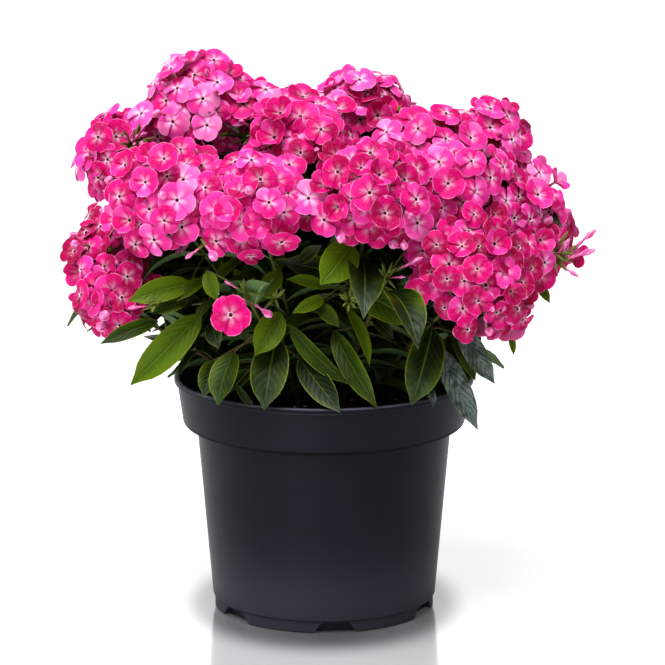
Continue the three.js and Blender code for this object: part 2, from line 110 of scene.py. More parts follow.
# %% Wires and nodes
class Wire:
    """A node's output that takes part in sums."""

    def __init__(self, nodes, socket):
        self.nodes, self.socket = nodes, socket

    def maths(self, operation, *values):
        inputs = dict(enumerate(values))
        return self.nodes.add("ShaderNodeMath", {"operation": operation}, inputs)

    def __add__(self, other):
        return self.maths("ADD", self, other)

    def __radd__(self, other):
        return self.maths("ADD", other, self)

    def __sub__(self, other):
        return self.maths("SUBTRACT", self, other)

    def __rsub__(self, other):
        return self.maths("SUBTRACT", other, self)

    def __mul__(self, other):
        return self.maths("MULTIPLY", self, other)

    def __rmul__(self, other):
        return self.maths("MULTIPLY", other, self)

    def __truediv__(self, other):
        return self.maths("DIVIDE", self, other)

    def __pow__(self, other):
        return self.maths("POWER", self, other)

    def __gt__(self, other):
        return self.maths("GREATER_THAN", self, other)

    def __lt__(self, other):
        return self.maths("LESS_THAN", self, other)

    def __abs__(self):
        return self.maths("ABSOLUTE", self)

    def sine(self):
        return self.maths("SINE", self)


class Nodes:
    """A node tree and the methods that fill it."""

    def __init__(self, tree):
        self.tree = tree

    def add(self, kind, settings=None, inputs=None, out=0):
        node = self.tree.nodes.new(kind)
        for name, value in (settings or {}).items():
            setattr(node, name, value)
        for key, value in (inputs or {}).items():
            self.feed(node.inputs[key], value)
        return Wire(self, node.outputs[out]) if node.outputs else None

    def feed(self, socket, value):
        if isinstance(value, Wire):
            self.tree.links.new(value.socket, socket)
        else:
            socket.default_value = value

    def axis_of(self, vector, axis):
        """One number of a vector: 0 for x, 1 for y, 2 for z."""
        return self.add("ShaderNodeSeparateXYZ", inputs={0: vector}, out=axis)

    def ramp(self, value, low, high, before=0.0, after=1.0):
        """One number below low, another above high, and a smooth change between them."""
        settings = {"interpolation_type": "SMOOTHSTEP"}
        inputs = {0: value, 1: low, 2: high, 3: before, 4: after}
        return self.add("ShaderNodeMapRange", settings, inputs)

# %% [markdown]
# ## Helpers for finishes
# Colours are written as the 0 to 255 numbers that a colour picker gives, and turned into the
# linear light that a shader works in. A finish starts from the Principled shader, whose steady
# values are set on its own sockets.

# %% Finish helpers
def colour(red, green, blue):
    def linear(value):
        share = value / 255
        return share / 12.92 if share <= 0.04045 else ((share + 0.055) / 1.055) ** 2.4
    return (linear(red), linear(green), linear(blue), 1.0)


class Finish(Nodes):
    """A material with its Principled shader and the patterns that its colours are made of."""

    def __init__(self, name, **steady):
        self.material = bpy.data.materials.new(name)
        self.material.use_nodes = True
        super().__init__(self.material.node_tree)
        self.shader = self.tree.nodes["Principled BSDF"]
        for socket, value in steady.items():
            self.shader.inputs[socket.replace("_", " ")].default_value = value

    def place(self):
        return self.add("ShaderNodeTexCoord", out="Object")

    def value_of(self, attribute):
        return self.add("ShaderNodeAttribute", {"attribute_name": attribute}, out="Fac")

    def surface(self):
        """The piece's own map: across and along, as two wires."""
        uv = self.add("ShaderNodeUVMap", {"uv_map": "surface"})
        return self.axis_of(uv, 0), self.axis_of(uv, 1)

    def noise(self, vector, scale, detail=3.0, roughness=0.5):
        inputs = {"Vector": vector, "Scale": scale, "Detail": detail, "Roughness": roughness}
        return self.add("ShaderNodeTexNoise", inputs=inputs)

    def blend(self, share, first, second):
        inputs = {0: share, 6: first, 7: second}
        return self.add("ShaderNodeMix", {"data_type": "RGBA"}, inputs, out=2)

    def stretch(self, across, along, depth=0.0):
        return self.add("ShaderNodeCombineXYZ", inputs={0: across, 1: along, 2: depth})

    def wear(self, base, roughness, height, strength, distance):
        """Joins what changes over the surface to the shader."""
        self.feed(self.shader.inputs["Base Color"], base)
        self.feed(self.shader.inputs["Roughness"], roughness)
        inputs = {"Strength": strength, "Distance": distance, "Height": height}
        self.feed(self.shader.inputs["Normal"], self.add("ShaderNodeBump", inputs=inputs))

# %% [markdown]
# ## Light
# A plant looks best in wide, soft light. A hazy sun stands nearly overhead, so the domes are bright
# on top and the leaves under them fall into shade, and a broad lamp fills a little from the front
# left. The sky is bright near the horizon behind the plant, which edges the dark pot with light,
# and darker overhead and in front. At the far left it has a glow that the pot's wall mirrors. One
# smooth sky does this without the hard edges that a row of lamps would leave on the floor.

# %% Sky, sun and lamp
SKY_TOP = 0.35
SKY_FRONT, SKY_BACK = 0.35, 1.0
SKY_LEFT, SKY_RIGHT = 0.75, 0.4
LEFT_GLOW = 2.1
SUN_POWER, SUN_WIDTH = 3.3, math.radians(42)
SUN_SIDE = Vector((-0.16, -0.34, 1.0))
LAMP_PLACE, LAMP_AIM = Vector((-1.0, -2.2, 1.9)), Vector((0, 0, 0.25))
LAMP_SIZE, LAMP_POWER = 1.8, 9

world = bpy.data.worlds.new("studio")
world.use_nodes = True
bpy.context.scene.world = world
sky = Nodes(world.node_tree)
way = sky.add("ShaderNodeTexCoord", out="Generated")
rightward, back, up = sky.axis_of(way, 0), sky.axis_of(way, 1), sky.axis_of(way, 2)
low_band = sky.ramp(back, -0.6, 0.6, SKY_FRONT, SKY_BACK)
low_band = low_band * sky.ramp(rightward, -0.8, -0.2, SKY_LEFT, 1.0)
low_band = low_band * sky.ramp(rightward, 0.12, 0.7, 1.0, SKY_RIGHT)
low_band = low_band * sky.ramp(rightward, -1.0, -0.75, LEFT_GLOW, 1.0)
background = world.node_tree.nodes["Background"]
background.inputs["Color"].default_value = (1.0, 1.0, 1.0, 1.0)
sky.feed(background.inputs["Strength"], sky.ramp(up, 0.12, 0.7, low_band, SKY_TOP))
bpy.context.scene.view_settings.view_transform = "Standard"
bpy.context.scene.view_settings.look = "Medium High Contrast"


def place_light(light, place, turn):
    holder = bpy.data.objects.new(light.name, light)
    holder.location = place
    holder.rotation_euler = turn.to_euler()
    bpy.context.collection.objects.link(holder)


sun = bpy.data.lights.new("hazy_sun", "SUN")
sun.energy, sun.angle = SUN_POWER, SUN_WIDTH
place_light(sun, (0, 0, 0), SUN_SIDE.to_track_quat("Z", "Y"))
lamp = bpy.data.lights.new("key", "AREA")
lamp.shape, lamp.energy = "RECTANGLE", LAMP_POWER
lamp.size, lamp.size_y = LAMP_SIZE, LAMP_SIZE
place_light(lamp, LAMP_PLACE, (LAMP_AIM - LAMP_PLACE).to_track_quat("-Z", "Y"))
print("a sky, a sun and a lamp")

# %% [markdown]
# ## Floor
# The floor is polished, near-white board that shows a soft image of the pot. It is a wide disc, so
# that its edge is never seen. Light as wide as this casts hardly any shade, so the shade where the
# pot stands is helped by a soft grey in the board's own finish. It starts at the pot's foot, and
# reaches further in front of the pot and behind it than at its sides.

# %% Floor
FLOOR_RADIUS = 10.0
FLOOR_RINGS = 12
FLOOR_SPOKES = 64
FOOT_RADIUS = 0.0845
TINY = 0.000001  # keeps the middle of the floor from being divided by nought
SHADE_REACH, SHADE_REACH_AHEAD = 0.036, 0.046
SHADE_DEPTH, SHADE_DEPTH_AHEAD = 0.56, 0.26
BOARD_WHITE, BOARD_LIGHT, SHADE_GREY = colour(246, 246, 247), colour(250, 250, 250), colour(70, 70, 74)


def disc(radius, rings, spokes):
    """Points and faces of a flat disc whose rings are closer together towards the middle."""
    points = [Vector((0, 0, 0))]
    for ring in range(1, rings + 1):
        reach = radius * (ring / rings) ** 2
        for spoke in range(spokes):
            turn = 2 * math.pi * spoke / spokes
            points.append(Vector((reach * math.cos(turn), reach * math.sin(turn), 0)))
    faces = [(0, 1 + k, 1 + (k + 1) % spokes) for k in range(spokes)]
    for ring in range(rings - 1):
        start = 1 + ring * spokes
        for k in range(spokes):
            after = (k + 1) % spokes
            faces.append((start + k, start + spokes + k, start + spokes + after, start + after))
    return points, faces


board = Finish("floor_board", IOR=1.45, Metallic=0.6, Emission_Strength=0.11)
spot = board.place()
mottle = board.noise(spot, 2.0)
aside, ahead = board.axis_of(spot, 0), board.axis_of(spot, 1)
from_axis = (aside * aside + ahead * ahead) ** 0.5
frontal = (ahead * ahead) / (from_axis * from_axis + TINY)
near = 1 - board.ramp((from_axis - FOOT_RADIUS) / (SHADE_REACH + SHADE_REACH_AHEAD * frontal), 0.0, 1.0)
shade = near * near * (3 - 2 * near) * (SHADE_DEPTH + SHADE_DEPTH_AHEAD * frontal)
white = board.blend(shade, board.blend(mottle, BOARD_WHITE, BOARD_LIGHT), SHADE_GREY)
board.feed(board.shader.inputs["Emission Color"], white)
board.wear(white, 0.12 + mottle * 0.03, board.noise(spot, 400.0), 0.02, 0.0002)
floor_mesh = bpy.data.meshes.new("floor")
floor_points, floor_faces = disc(FLOOR_RADIUS, FLOOR_RINGS, FLOOR_SPOKES)
floor_mesh.from_pydata(floor_points, [], floor_faces)
floor_mesh.materials.append(board.material)
floor = bpy.data.objects.new("floor", floor_mesh)
bpy.context.collection.objects.link(floor)
print("floor of", len(floor_mesh.polygons), "faces")

# %% [markdown]
# ## Shapes
# A petal, a leaf or a crumb is first drawn once as a `Shape`: points, faces, a flat map of the
# surface, and a number on each face that says which part of the piece it is. Where two parts
# meet, the edge is kept crisp, so a thin petal doesn't shade as if it were round. Rings joined by
# bands make all that is round, from the pot down to a flower's tube.

# %% Shape
class Shape:
    """Points and faces of one drawn piece."""

    def __init__(self):
        self.points, self.spots, self.faces, self.parts, self.shades = [], [], [], [], []
        self.shade = 0.5

    def point(self, place, spot=(0.0, 0.0)):
        self.points.append(Vector(place))
        self.spots.append(spot)
        return len(self.points) - 1

    def face(self, corners, part=0):
        self.faces.append(tuple(corners))
        self.parts.append(part)
        self.shades.append(self.shade)

    def band(self, first, second, part=0, closed=False):
        """Four-sided faces between two rows of points, facing the side of first x second."""
        count = len(first)
        for k in range(count if closed else count - 1):
            after = (k + 1) % count
            self.face((first[k], first[after], second[after], second[k]), part)

    def ring(self, radius, level, sides, turn=0.0):
        """A row of points round the axis; level is its height, or a function of x and y."""
        row = []
        for k in range(sides):
            angle = turn + 2 * math.pi * k / sides
            x, y = radius * math.cos(angle), radius * math.sin(angle)
            row.append(self.point((x, y, level(x, y) if callable(level) else level), (0.5, 0.0)))
        return row

    def spin(self, rings, foot, top):
        """Joins rings that run outwards and up, and closes both ends on the axis."""
        for low, high in zip(rings, rings[1:]):
            self.band(low, high, closed=True)
        foot, top = self.point((0, 0, foot)), self.point((0, 0, top))
        for k in range(len(rings[0])):
            after = (k + 1) % len(rings[0])
            self.face((rings[0][after], rings[0][k], foot))
            self.face((rings[-1][k], rings[-1][after], top))

    def mesh(self, name, scale=1.0):
        mesh = bpy.data.meshes.new(name)
        mesh.from_pydata([p * scale for p in self.points], [], self.faces)
        part = mesh.attributes.new("part", "FLOAT", "FACE")
        part.data.foreach_set("value", [float(p) for p in self.parts])
        shade = mesh.attributes.new("shade", "FLOAT", "FACE")
        shade.data.foreach_set("value", self.shades)
        surface = mesh.uv_layers.new(name="surface")
        corners = [self.spots[loop.vertex_index] for loop in mesh.loops]
        surface.data.foreach_set("uv", [number for spot in corners for number in spot])
        crisp = mesh.attributes.new("sharp_edge", "BOOLEAN", "EDGE")
        touching = {}
        for polygon in mesh.polygons:
            for key in polygon.edge_keys:
                touching.setdefault(key, set()).add(self.parts[polygon.index])
        crisp.data.foreach_set("value", [len(touching[tuple(sorted(e.vertices))]) > 1
                                         for e in mesh.edges])
        mesh.shade_smooth()
        return mesh

# %% [markdown]
# A drawn shape becomes a piece of the plant when an object shows it. Nothing here moves by itself,
# so all of them ride on the one body.

# %% Pieces
def show(name, mesh, *materials):
    for material in materials:
        mesh.materials.append(material)
    piece = bpy.data.objects.new(name, mesh)
    bpy.context.collection.objects.link(piece)
    return piece


def finish_piece(piece, slot, *nodes):
    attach(piece, "root")
    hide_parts(*nodes)

# %% [markdown]
# ## The pot
# The pot is blow-moulded plastic, 182 mm high: a tapered body, a wider collar that the hand
# grips, and a thin rolled lip. It is turned like wood on a lathe here: a profile with each corner
# rounded by its own radius is spun round the axis. Some two hundred steps keep the lip smooth.

# %% Pot profile
POT_STEPS = 216
CORNER_STEPS = 5
POT_CORNERS = [  # radius, height, rounding in mm, from the foot up, over the lip and down inside
    (70.0, 0.0, 0.0),
    (84.5, 0.0, 1.2),
    (84.5, 9.0, 0.4),
    (86.0, 10.0, 0.8),
    (97.5, 143.2, 1.4),
    (108.0, 145.2, 4.6),
    (112.5, 177.2, 0.7),
    (114.9, 178.0, 0.9),
    (115.0, 182.0, 1.5),
    (111.3, 182.0, 1.2),
    (106.0, 148.0, 2.0),
    (95.5, 144.0, 2.0),
    (84.0, 12.0, 2.0),
    (70.0, 2.5, 2.0),
]


def rounded(corners, steps):
    """The profile with each corner replaced by a small arc that touches both sides."""
    outline = []
    for k, (radius, height, rounding) in enumerate(corners):
        corner = Vector((radius, height))
        if rounding == 0 or k in (0, len(corners) - 1):
            outline.append(corner)
            continue
        before = (Vector(corners[k - 1][:2]) - corner).normalized()
        after = (Vector(corners[k + 1][:2]) - corner).normalized()
        half = before.angle(after) / 2
        reach = rounding / math.tan(half)
        start, end = corner + before * reach, corner + after * reach
        for step in range(steps + 1):
            share = step / steps
            outline.append(start * (1 - share) ** 2 + corner * 2 * share * (1 - share) + end * share ** 2)
    return outline


pot_outline = rounded(POT_CORNERS, CORNER_STEPS)
pot_shape = Shape()
pot_rings = [pot_shape.ring(radius, height, POT_STEPS) for radius, height in pot_outline]
pot_shape.spin(pot_rings, pot_outline[0].y, pot_outline[-1].y)
print("pot profile of", len(pot_outline), "points")

# %% [markdown]
# Six notches at the foot let water out. Each is a gap with sloping, rounded sides, cut through
# the wall by a wedge. A Boolean modifier does the cutting, as a router would on the real mould.

# %% Drain notches
NOTCHES = 6
FIRST_NOTCH = math.radians(-84)
NOTCH_MOUTH = 36.0
NOTCH_THROAT = 18.0
NOTCH_HEIGHT = 8.5
NOTCH_STEPS = 8
NOTCH_BELOW = -2.0
NOTCH_INNER, NOTCH_OUTER = 77.0, 92.0
CRISP_ANGLE = math.radians(35)


def notch_outline():
    half_mouth, half_throat = NOTCH_MOUTH / 2, NOTCH_THROAT / 2
    side = []
    for step in range(NOTCH_STEPS + 1):
        share = step / NOTCH_STEPS
        ease = share * share * (3 - 2 * share)
        side.append((half_mouth + (half_throat - half_mouth) * share, NOTCH_HEIGHT * ease))
    left = [(-x, z) for x, z in side]
    return [(-half_mouth, NOTCH_BELOW), (half_mouth, NOTCH_BELOW)] + side + left[::-1]


def notch_cutters():
    shape = Shape()
    outline = notch_outline()
    for number in range(NOTCHES):
        turn = FIRST_NOTCH + 2 * math.pi * number / NOTCHES
        out = Vector((math.cos(turn), math.sin(turn), 0))
        side = Vector((-math.sin(turn), math.cos(turn), 0))
        ends = []
        for reach in (NOTCH_INNER, NOTCH_OUTER):
            ends.append([shape.point(out * reach + side * x + Vector((0, 0, z))) for x, z in outline])
        shape.band(ends[0], ends[1], closed=True)
        shape.face(ends[0][::-1])
        shape.face(ends[1])
    return shape


def settled(piece):
    """The piece's mesh with its modifiers worked in, as a plain mesh."""
    graph = bpy.context.evaluated_depsgraph_get()
    mesh = bpy.data.meshes.new_from_object(piece.evaluated_get(graph), preserve_all_data_layers=True,
                                           depsgraph=graph)
    piece.modifiers.clear()
    piece.data = mesh
    return mesh


pot = show("pot_shell", pot_shape.mesh("pot_shell", MM))
cutter = show("notch_cutters", notch_cutters().mesh("notch_cutters", MM))
cut = pot.modifiers.new("notches", "BOOLEAN")
cut.operation, cut.solver, cut.object = "DIFFERENCE", "EXACT", cutter
pot_mesh = settled(pot)
bpy.data.objects.remove(cutter)
pot_mesh.shade_smooth()
pot_mesh.set_sharp_from_angle(angle=CRISP_ANGLE)
print("pot of", len(pot_mesh.polygons), "faces")

# %% [markdown]
# The plastic is black tinted with blue, satin rather than glossy, with the fine pebble of the
# mould. It is paler and dustier towards the foot and scuffed here and there. A painted highlight
# runs along the edge of the lip, and painted shade makes it darkest in the groove under the
# collar. Height and noise say where each of these lies, so the finish needs no map.

# %% Pot plastic
BODY_BLACK = colour(19, 18, 26)
WORN_BLACK = colour(29, 27, 37)
LIP_HIGHLIGHT = colour(104, 104, 118)
SHADED_BLACK = colour(8, 8, 11)
FOOT_GREY = colour(60, 60, 72)
DUST = colour(70, 67, 64)
DUSTY, PALE = (0.0, 0.03), (0.0, 0.105)  # heights in metres between which a finish changes
GROOVE_FOOT, GROOVE_TOP = (0.141, 0.143), (0.146, 0.149)
LIP_EDGE = (0.1805, 0.1815)

plastic = Finish("pot_plastic", IOR=1.46, Specular_IOR_Level=0.19, Specular_Tint=(0.86, 0.88, 1.0, 1.0))
spot = plastic.place()
pebble = plastic.noise(spot, 900.0, 2.0)
cloud = plastic.noise(spot, 14.0, 4.0)
scuff = plastic.ramp(plastic.noise(spot, 70.0, 5.0, 0.7), 0.58, 0.72)
height = plastic.axis_of(spot, 2)
near_foot = 1 - plastic.ramp(height, *DUSTY)
lip_edge = plastic.ramp(height, *LIP_EDGE)
under_collar = plastic.ramp(height, *GROOVE_FOOT) * (1 - plastic.ramp(height, *GROOVE_TOP))
skin = plastic.blend(cloud, BODY_BLACK, WORN_BLACK)
skin = plastic.blend(scuff * 0.25, skin, WORN_BLACK)
skin = plastic.blend((1 - plastic.ramp(height, *PALE)) ** 2, skin, FOOT_GREY)
skin = plastic.blend(near_foot * cloud * 0.3, skin, DUST)
# painted highlight along the edge of the lip
skin = plastic.blend(lip_edge * (0.35 + cloud * 0.5), skin, LIP_HIGHLIGHT)
# painted shade in the groove under the collar
skin = plastic.blend(under_collar * 0.8, skin, SHADED_BLACK)
gloss = 0.34 + cloud * 0.12 + scuff * 0.1 + near_foot * 0.1 + under_collar * 0.4
plastic.wear(skin, gloss, pebble, 0.12, 0.0004)
pot_mesh.materials.clear()
pot_mesh.materials.append(plastic.material)
finish_piece(pot, "pot", "pot")
print("pot finish of", len(plastic.tree.nodes), "nodes")

# %% [markdown]
# ## One tree for all that grows
# Flowers, leaves and compost crumbs repeat hundreds of times, and stems follow paths. One
# Geometry Nodes tree does both jobs. It is given a skeleton: loose points that say which shape
# stands there, which way it faces and how big it is, and edges that say where a stem runs. It puts
# the shapes on the points, sweeps a round tube along the edges and joins the two.

# %% Growing tree
GREEN_PART = 9
TREE_INPUTS = {"Skeleton": "Geometry", "Shapes": "Collection", "Tube sides": "Int",
               "Skin": "Material", "Green": "Material"}


def growing_tree():
    tree = bpy.data.node_groups.new("growing", "GeometryNodeTree")
    for name, kind in TREE_INPUTS.items():
        tree.interface.new_socket(name, in_out="INPUT", socket_type=f"NodeSocket{kind}")
    tree.interface.new_socket("Grown", in_out="OUTPUT", socket_type="NodeSocketGeometry")
    nodes = Nodes(tree)

    def given(name):
        return nodes.add("NodeGroupInput", out=name)

    def stored(name, kind):
        return nodes.add("GeometryNodeInputNamedAttribute", {"data_type": kind}, {"Name": name})

    shapes = nodes.add("GeometryNodeCollectionInfo", inputs={
        "Collection": given("Shapes"), "Separate Children": True, "Reset Children": True})
    turn = nodes.add("FunctionNodeAxesToRotation", {"primary_axis": "Z", "secondary_axis": "X"}, {
        0: stored("facing", "FLOAT_VECTOR"), 1: stored("across", "FLOAT_VECTOR")})
    planted = nodes.add("GeometryNodeInstanceOnPoints", inputs={
        "Points": given("Skeleton"), "Selection": stored("planted", "BOOLEAN"),
        "Instance": shapes, "Pick Instance": True, "Instance Index": stored("kind", "INT"),
        "Rotation": turn, "Scale": stored("size", "FLOAT_VECTOR")})
    paths = nodes.add("GeometryNodeMeshToCurve", inputs={"Mesh": given("Skeleton")})
    round_profile = nodes.add("GeometryNodeCurvePrimitiveCircle", inputs={
        "Resolution": given("Tube sides"), "Radius": 1.0})
    tubes = nodes.add("GeometryNodeCurveToMesh", inputs={
        "Curve": paths, "Profile Curve": round_profile, "Scale": stored("radius", "FLOAT"),
        "Fill Caps": True})
    tubes = nodes.add("GeometryNodeStoreNamedAttribute", {"data_type": "FLOAT", "domain": "FACE"}, {
        "Geometry": tubes, "Name": "part", "Value": float(GREEN_PART)})
    joined = nodes.add("GeometryNodeJoinGeometry", inputs={"Geometry": tubes})
    nodes.feed(joined.socket.node.inputs["Geometry"], planted)
    real = nodes.add("GeometryNodeRealizeInstances", inputs={"Geometry": joined})
    smooth = nodes.add("GeometryNodeSetShadeSmooth", inputs={"Geometry": real})
    skinned = nodes.add("GeometryNodeSetMaterial", inputs={"Geometry": smooth, "Material": given("Skin")})
    is_green = stored("part", "FLOAT") > GREEN_PART - 0.5
    finished = nodes.add("GeometryNodeSetMaterial", inputs={
        "Geometry": skinned, "Selection": is_green, "Material": given("Green")})
    nodes.add("NodeGroupOutput", inputs={"Grown": finished})
    return tree


GROWING = growing_tree()
print("growing tree of", len(GROWING.nodes), "nodes")

# %% [markdown]
# The skeleton is kept as a plain mesh with attributes, so the tree can read everything by name.
# `grow` gives it to the tree and keeps the result as a plain mesh.

# %% Skeleton
class Skeleton:
    """Points that carry shapes, and edges that carry tubes."""

    def __init__(self):
        self.points, self.edges = [], []
        self.facing, self.across, self.size = [], [], []
        self.kind, self.tone, self.radius = [], [], []

    def plant(self, kind, place, facing, across, size, tone):
        self.points.append(Vector(place))
        self.facing.append(facing)
        self.across.append(across)
        self.size.append(size)
        self.kind.append(kind)
        self.tone.append(tone)
        self.radius.append(0.0)

    def path(self, places, radii, tone):
        start = len(self.points)
        for place, radius in zip(places, radii):
            self.plant(-1, place, (0, 0, 1), (1, 0, 0), (1, 1, 1), tone)
            self.radius[-1] = radius
        self.edges += [(start + k, start + k + 1) for k in range(len(places) - 1)]

    def mesh(self, name):
        mesh = bpy.data.meshes.new(name)
        mesh.from_pydata(self.points, self.edges, [])

        def keep(label, kind, values, field="value"):
            layer = mesh.attributes.new(label, kind, "POINT")
            layer.data.foreach_set(field, values)

        def flat(vectors):
            return [number for vector in vectors for number in vector]

        keep("facing", "FLOAT_VECTOR", flat(self.facing), "vector")
        keep("across", "FLOAT_VECTOR", flat(self.across), "vector")
        keep("size", "FLOAT_VECTOR", flat(self.size), "vector")
        keep("kind", "INT", [max(k, 0) for k in self.kind])
        keep("planted", "BOOLEAN", [k >= 0 for k in self.kind])
        keep("tone", "FLOAT", self.tone)
        keep("radius", "FLOAT", self.radius)
        return mesh


def shape_box(name, meshes):
    """A collection of drawn-once shapes; they're picked by their place in the list."""
    box = bpy.data.collections.new(name)
    for number, mesh in enumerate(meshes):
        box.objects.link(bpy.data.objects.new(f"{name}_{number:02d}", mesh))
    return box


def grow(name, skeleton, shapes, tube_sides, skin, green):
    piece = show(name, skeleton.mesh(name))
    growth = piece.modifiers.new("growth", "NODES")
    growth.node_group = GROWING
    chosen = {"Shapes": shapes, "Tube sides": tube_sides, "Skin": skin, "Green": green}
    for item in GROWING.interface.items_tree:
        if item.name in chosen:
            growth[item.identifier] = chosen[item.name]
    settled(piece)
    if piece.data.materials[0] is None:
        piece.data.materials.pop(index=0)
    return piece


def empty_box(box):
    for drawn in list(box.objects):
        bpy.data.objects.remove(drawn)
    bpy.data.collections.remove(box)

# %% [markdown]
# ## Compost
# Peat and bark, nearly black when damp, fill the pot. Little of it shows, but it holds the stems.
# It is a plug turned on the lathe to fit the pot, with its top pushed up and down by a few
# crossing waves, which is cheaper than sculpting what the leaves hide.

# %% Compost plug
COMPOST_TOP = 166.0
COMPOST_LEVEL = COMPOST_TOP - 1.5
COMPOST_EDGE = 108.0
COMPOST_STEPS = 96
COMPOST_RINGS = 26
COMPOST_SWELL = 2.2
COMPOST_WALL = ((70.0, 3.2), (83.3, 12.2), (94.8, 144.2), (105.2, 148.2), (COMPOST_EDGE, COMPOST_TOP - 2.0))
WAVES = ((0.11, 0.05, 0.3), (-0.06, 0.13, 1.7), (0.21, -0.17, 4.1), (0.31, 0.27, 2.2), (-0.4, 0.33, 5.0))


def bed_level(x, y):
    """How high the compost stands at a place."""
    waves = sum(math.sin(a * x + b * y + c) / (1 + 3 * k) for k, (a, b, c) in enumerate(WAVES, 1))
    return COMPOST_LEVEL + COMPOST_SWELL * waves


compost_shape = Shape()
rings = [compost_shape.ring(radius, height, COMPOST_STEPS) for radius, height in COMPOST_WALL]
for number in range(1, COMPOST_RINGS):
    radius = COMPOST_EDGE * (1 - number / COMPOST_RINGS)
    rings.append(compost_shape.ring(radius, bed_level, COMPOST_STEPS))
compost_shape.spin(rings, COMPOST_WALL[0][1], COMPOST_LEVEL)
print("compost drawn with", len(rings), "rings")

# %% [markdown]
# Damp compost is dull and dark, with paler bits of bark in it. Two sizes of noise mix the browns,
# and the finer one also roughens the surface with a strong bump.

# %% Compost finish
peat = Finish("damp_compost", IOR=1.4)
spot = peat.place()
grain = peat.noise(spot, 260.0, 6.0, 0.7)
fibre = peat.noise(spot, 60.0, 4.0)
soil = peat.blend(fibre, colour(16, 13, 12), colour(44, 33, 26))
soil = peat.blend(peat.ramp(grain, 0.6, 0.75) * 0.7, soil, colour(74, 56, 42))
peat.wear(soil, 0.86 + grain * 0.12, grain, 0.9, 0.0015)
compost = show("compost_bed", compost_shape.mesh("compost_bed", MM), peat.material)
finish_piece(compost, "compost", "compost")
print("compost of", len(compost.data.polygons), "faces")

# %% [markdown]
# Loose crumbs lie on the compost, with white grains of perlite among them. Each is a small lump
# with five sides, drawn in four versions. The growing tree lays them on the surface, each turned
# its own way, and one number decides which of the two it is.

# %% Compost crumbs
CRUMBS = 900
CRUMB_KINDS = 4
CRUMB_SIDES = 5
CRUMB_TURN = 1.2566
CRUMB_ROWS = ((-0.55, 0.6), (0.1, 0.9), (0.6, 0.55))  # height and width of each ring
PERLITE_SHARE = 0.05
CRUMB_SIZE = 2.6 * MM
CRUMB_REACH = 104.0


def crumb(seed):
    dice = random.Random(seed)
    shape = Shape()
    rows = []
    for level, width in CRUMB_ROWS:
        rows.append([shape.point((width * dice.uniform(0.7, 1.2) * math.cos(k * CRUMB_TURN),
                                  width * dice.uniform(0.7, 1.2) * math.sin(k * CRUMB_TURN),
                                  level + dice.uniform(-0.12, 0.12))) for k in range(CRUMB_SIDES)])
    for low, high in zip(rows, rows[1:]):
        shape.band(low, high, closed=True)
    shape.face(rows[0][::-1])
    shape.face(rows[-1])
    return shape.mesh(f"crumb_{seed}", CRUMB_SIZE / 2)


dice = random.Random(7)
crumbs, perlite_grains = Skeleton(), Skeleton()
for _ in range(CRUMBS):
    reach = CRUMB_REACH * math.sqrt(dice.random())
    turn = dice.uniform(0, 2 * math.pi)
    x, y = reach * math.cos(turn), reach * math.sin(turn)
    facing = Vector((dice.gauss(0, 1), dice.gauss(0, 1), dice.gauss(0, 1))).normalized()
    size = dice.uniform(0.4, 1.5)
    bed = perlite_grains if dice.random() < PERLITE_SHARE else crumbs
    bed.plant(dice.randrange(CRUMB_KINDS), Vector((x, y, bed_level(x, y))) * MM, facing,
              facing.orthogonal(), (size, size, size * 0.8), dice.random())

perlite = Finish("perlite", IOR=1.4)
foam = perlite.noise(perlite.place(), 700.0, 4.0)
perlite.wear(perlite.blend(foam, colour(196, 192, 184), colour(236, 234, 228)), 0.8 + foam * 0.15,
             foam, 0.5, 0.0005)
crumb_box = shape_box("crumb", [crumb(seed) for seed in range(CRUMB_KINDS)])
for name, bed, finish in (("compost_crumbs", crumbs, peat), ("perlite_grains", perlite_grains, perlite)):
    piece = grow(name, bed, crumb_box, tube_sides=4, skin=finish.material, green=finish.material)
    finish_piece(piece, "compost", "compost")
    print(name, len(piece.data.polygons), "faces")
empty_box(crumb_box)

# %% [markdown]
# ## Petals
# A phlox flower is a narrow tube that opens into a flat wheel of five broad petals. Each petal
# lies over one neighbour and under the other, like the blades of a fan, and its outer edge bends
# back a little. The front has twelve faces, enough to bend, and the back three.

# %% Open flower
PETALS = 5
THROAT_RADIUS = 1.3
TUBE_LENGTH = 18.0
TUBE_SIDES = 5
PETAL_ROWS = ((1.3, 0.9), (5.6, 4.6), (9.2, 7.5))
PETAL_RIM = ((11.1, 7.4), (13.9, 4.5), (14.9, 0.0))
PETAL_HALF = 7.7
PETAL_REACH = 13
PETAL_TWIST = 0.9
PETAL_CROWN, CROWN_REACH = 0.6, 4
BEND_FROM, BEND_REACH = 7, 6
MAP_WIDTH, MAP_LENGTH = 20.0, 16.0
FRONT, BACK, TUBE, RING, EYE = 0, 1, 2, 3, 4


def petal_rows():
    """Rows of (along, across) from the throat out, five points in each."""
    shares = (-1.0, -0.5, 0.0, 0.5, 1.0)
    rows = [[(along, half * share) for share in shares] for along, half in PETAL_ROWS]
    rim = [(along, -half) for along, half in PETAL_RIM]
    return rows + [rim + [(along, -across) for along, across in rim[1::-1]]]


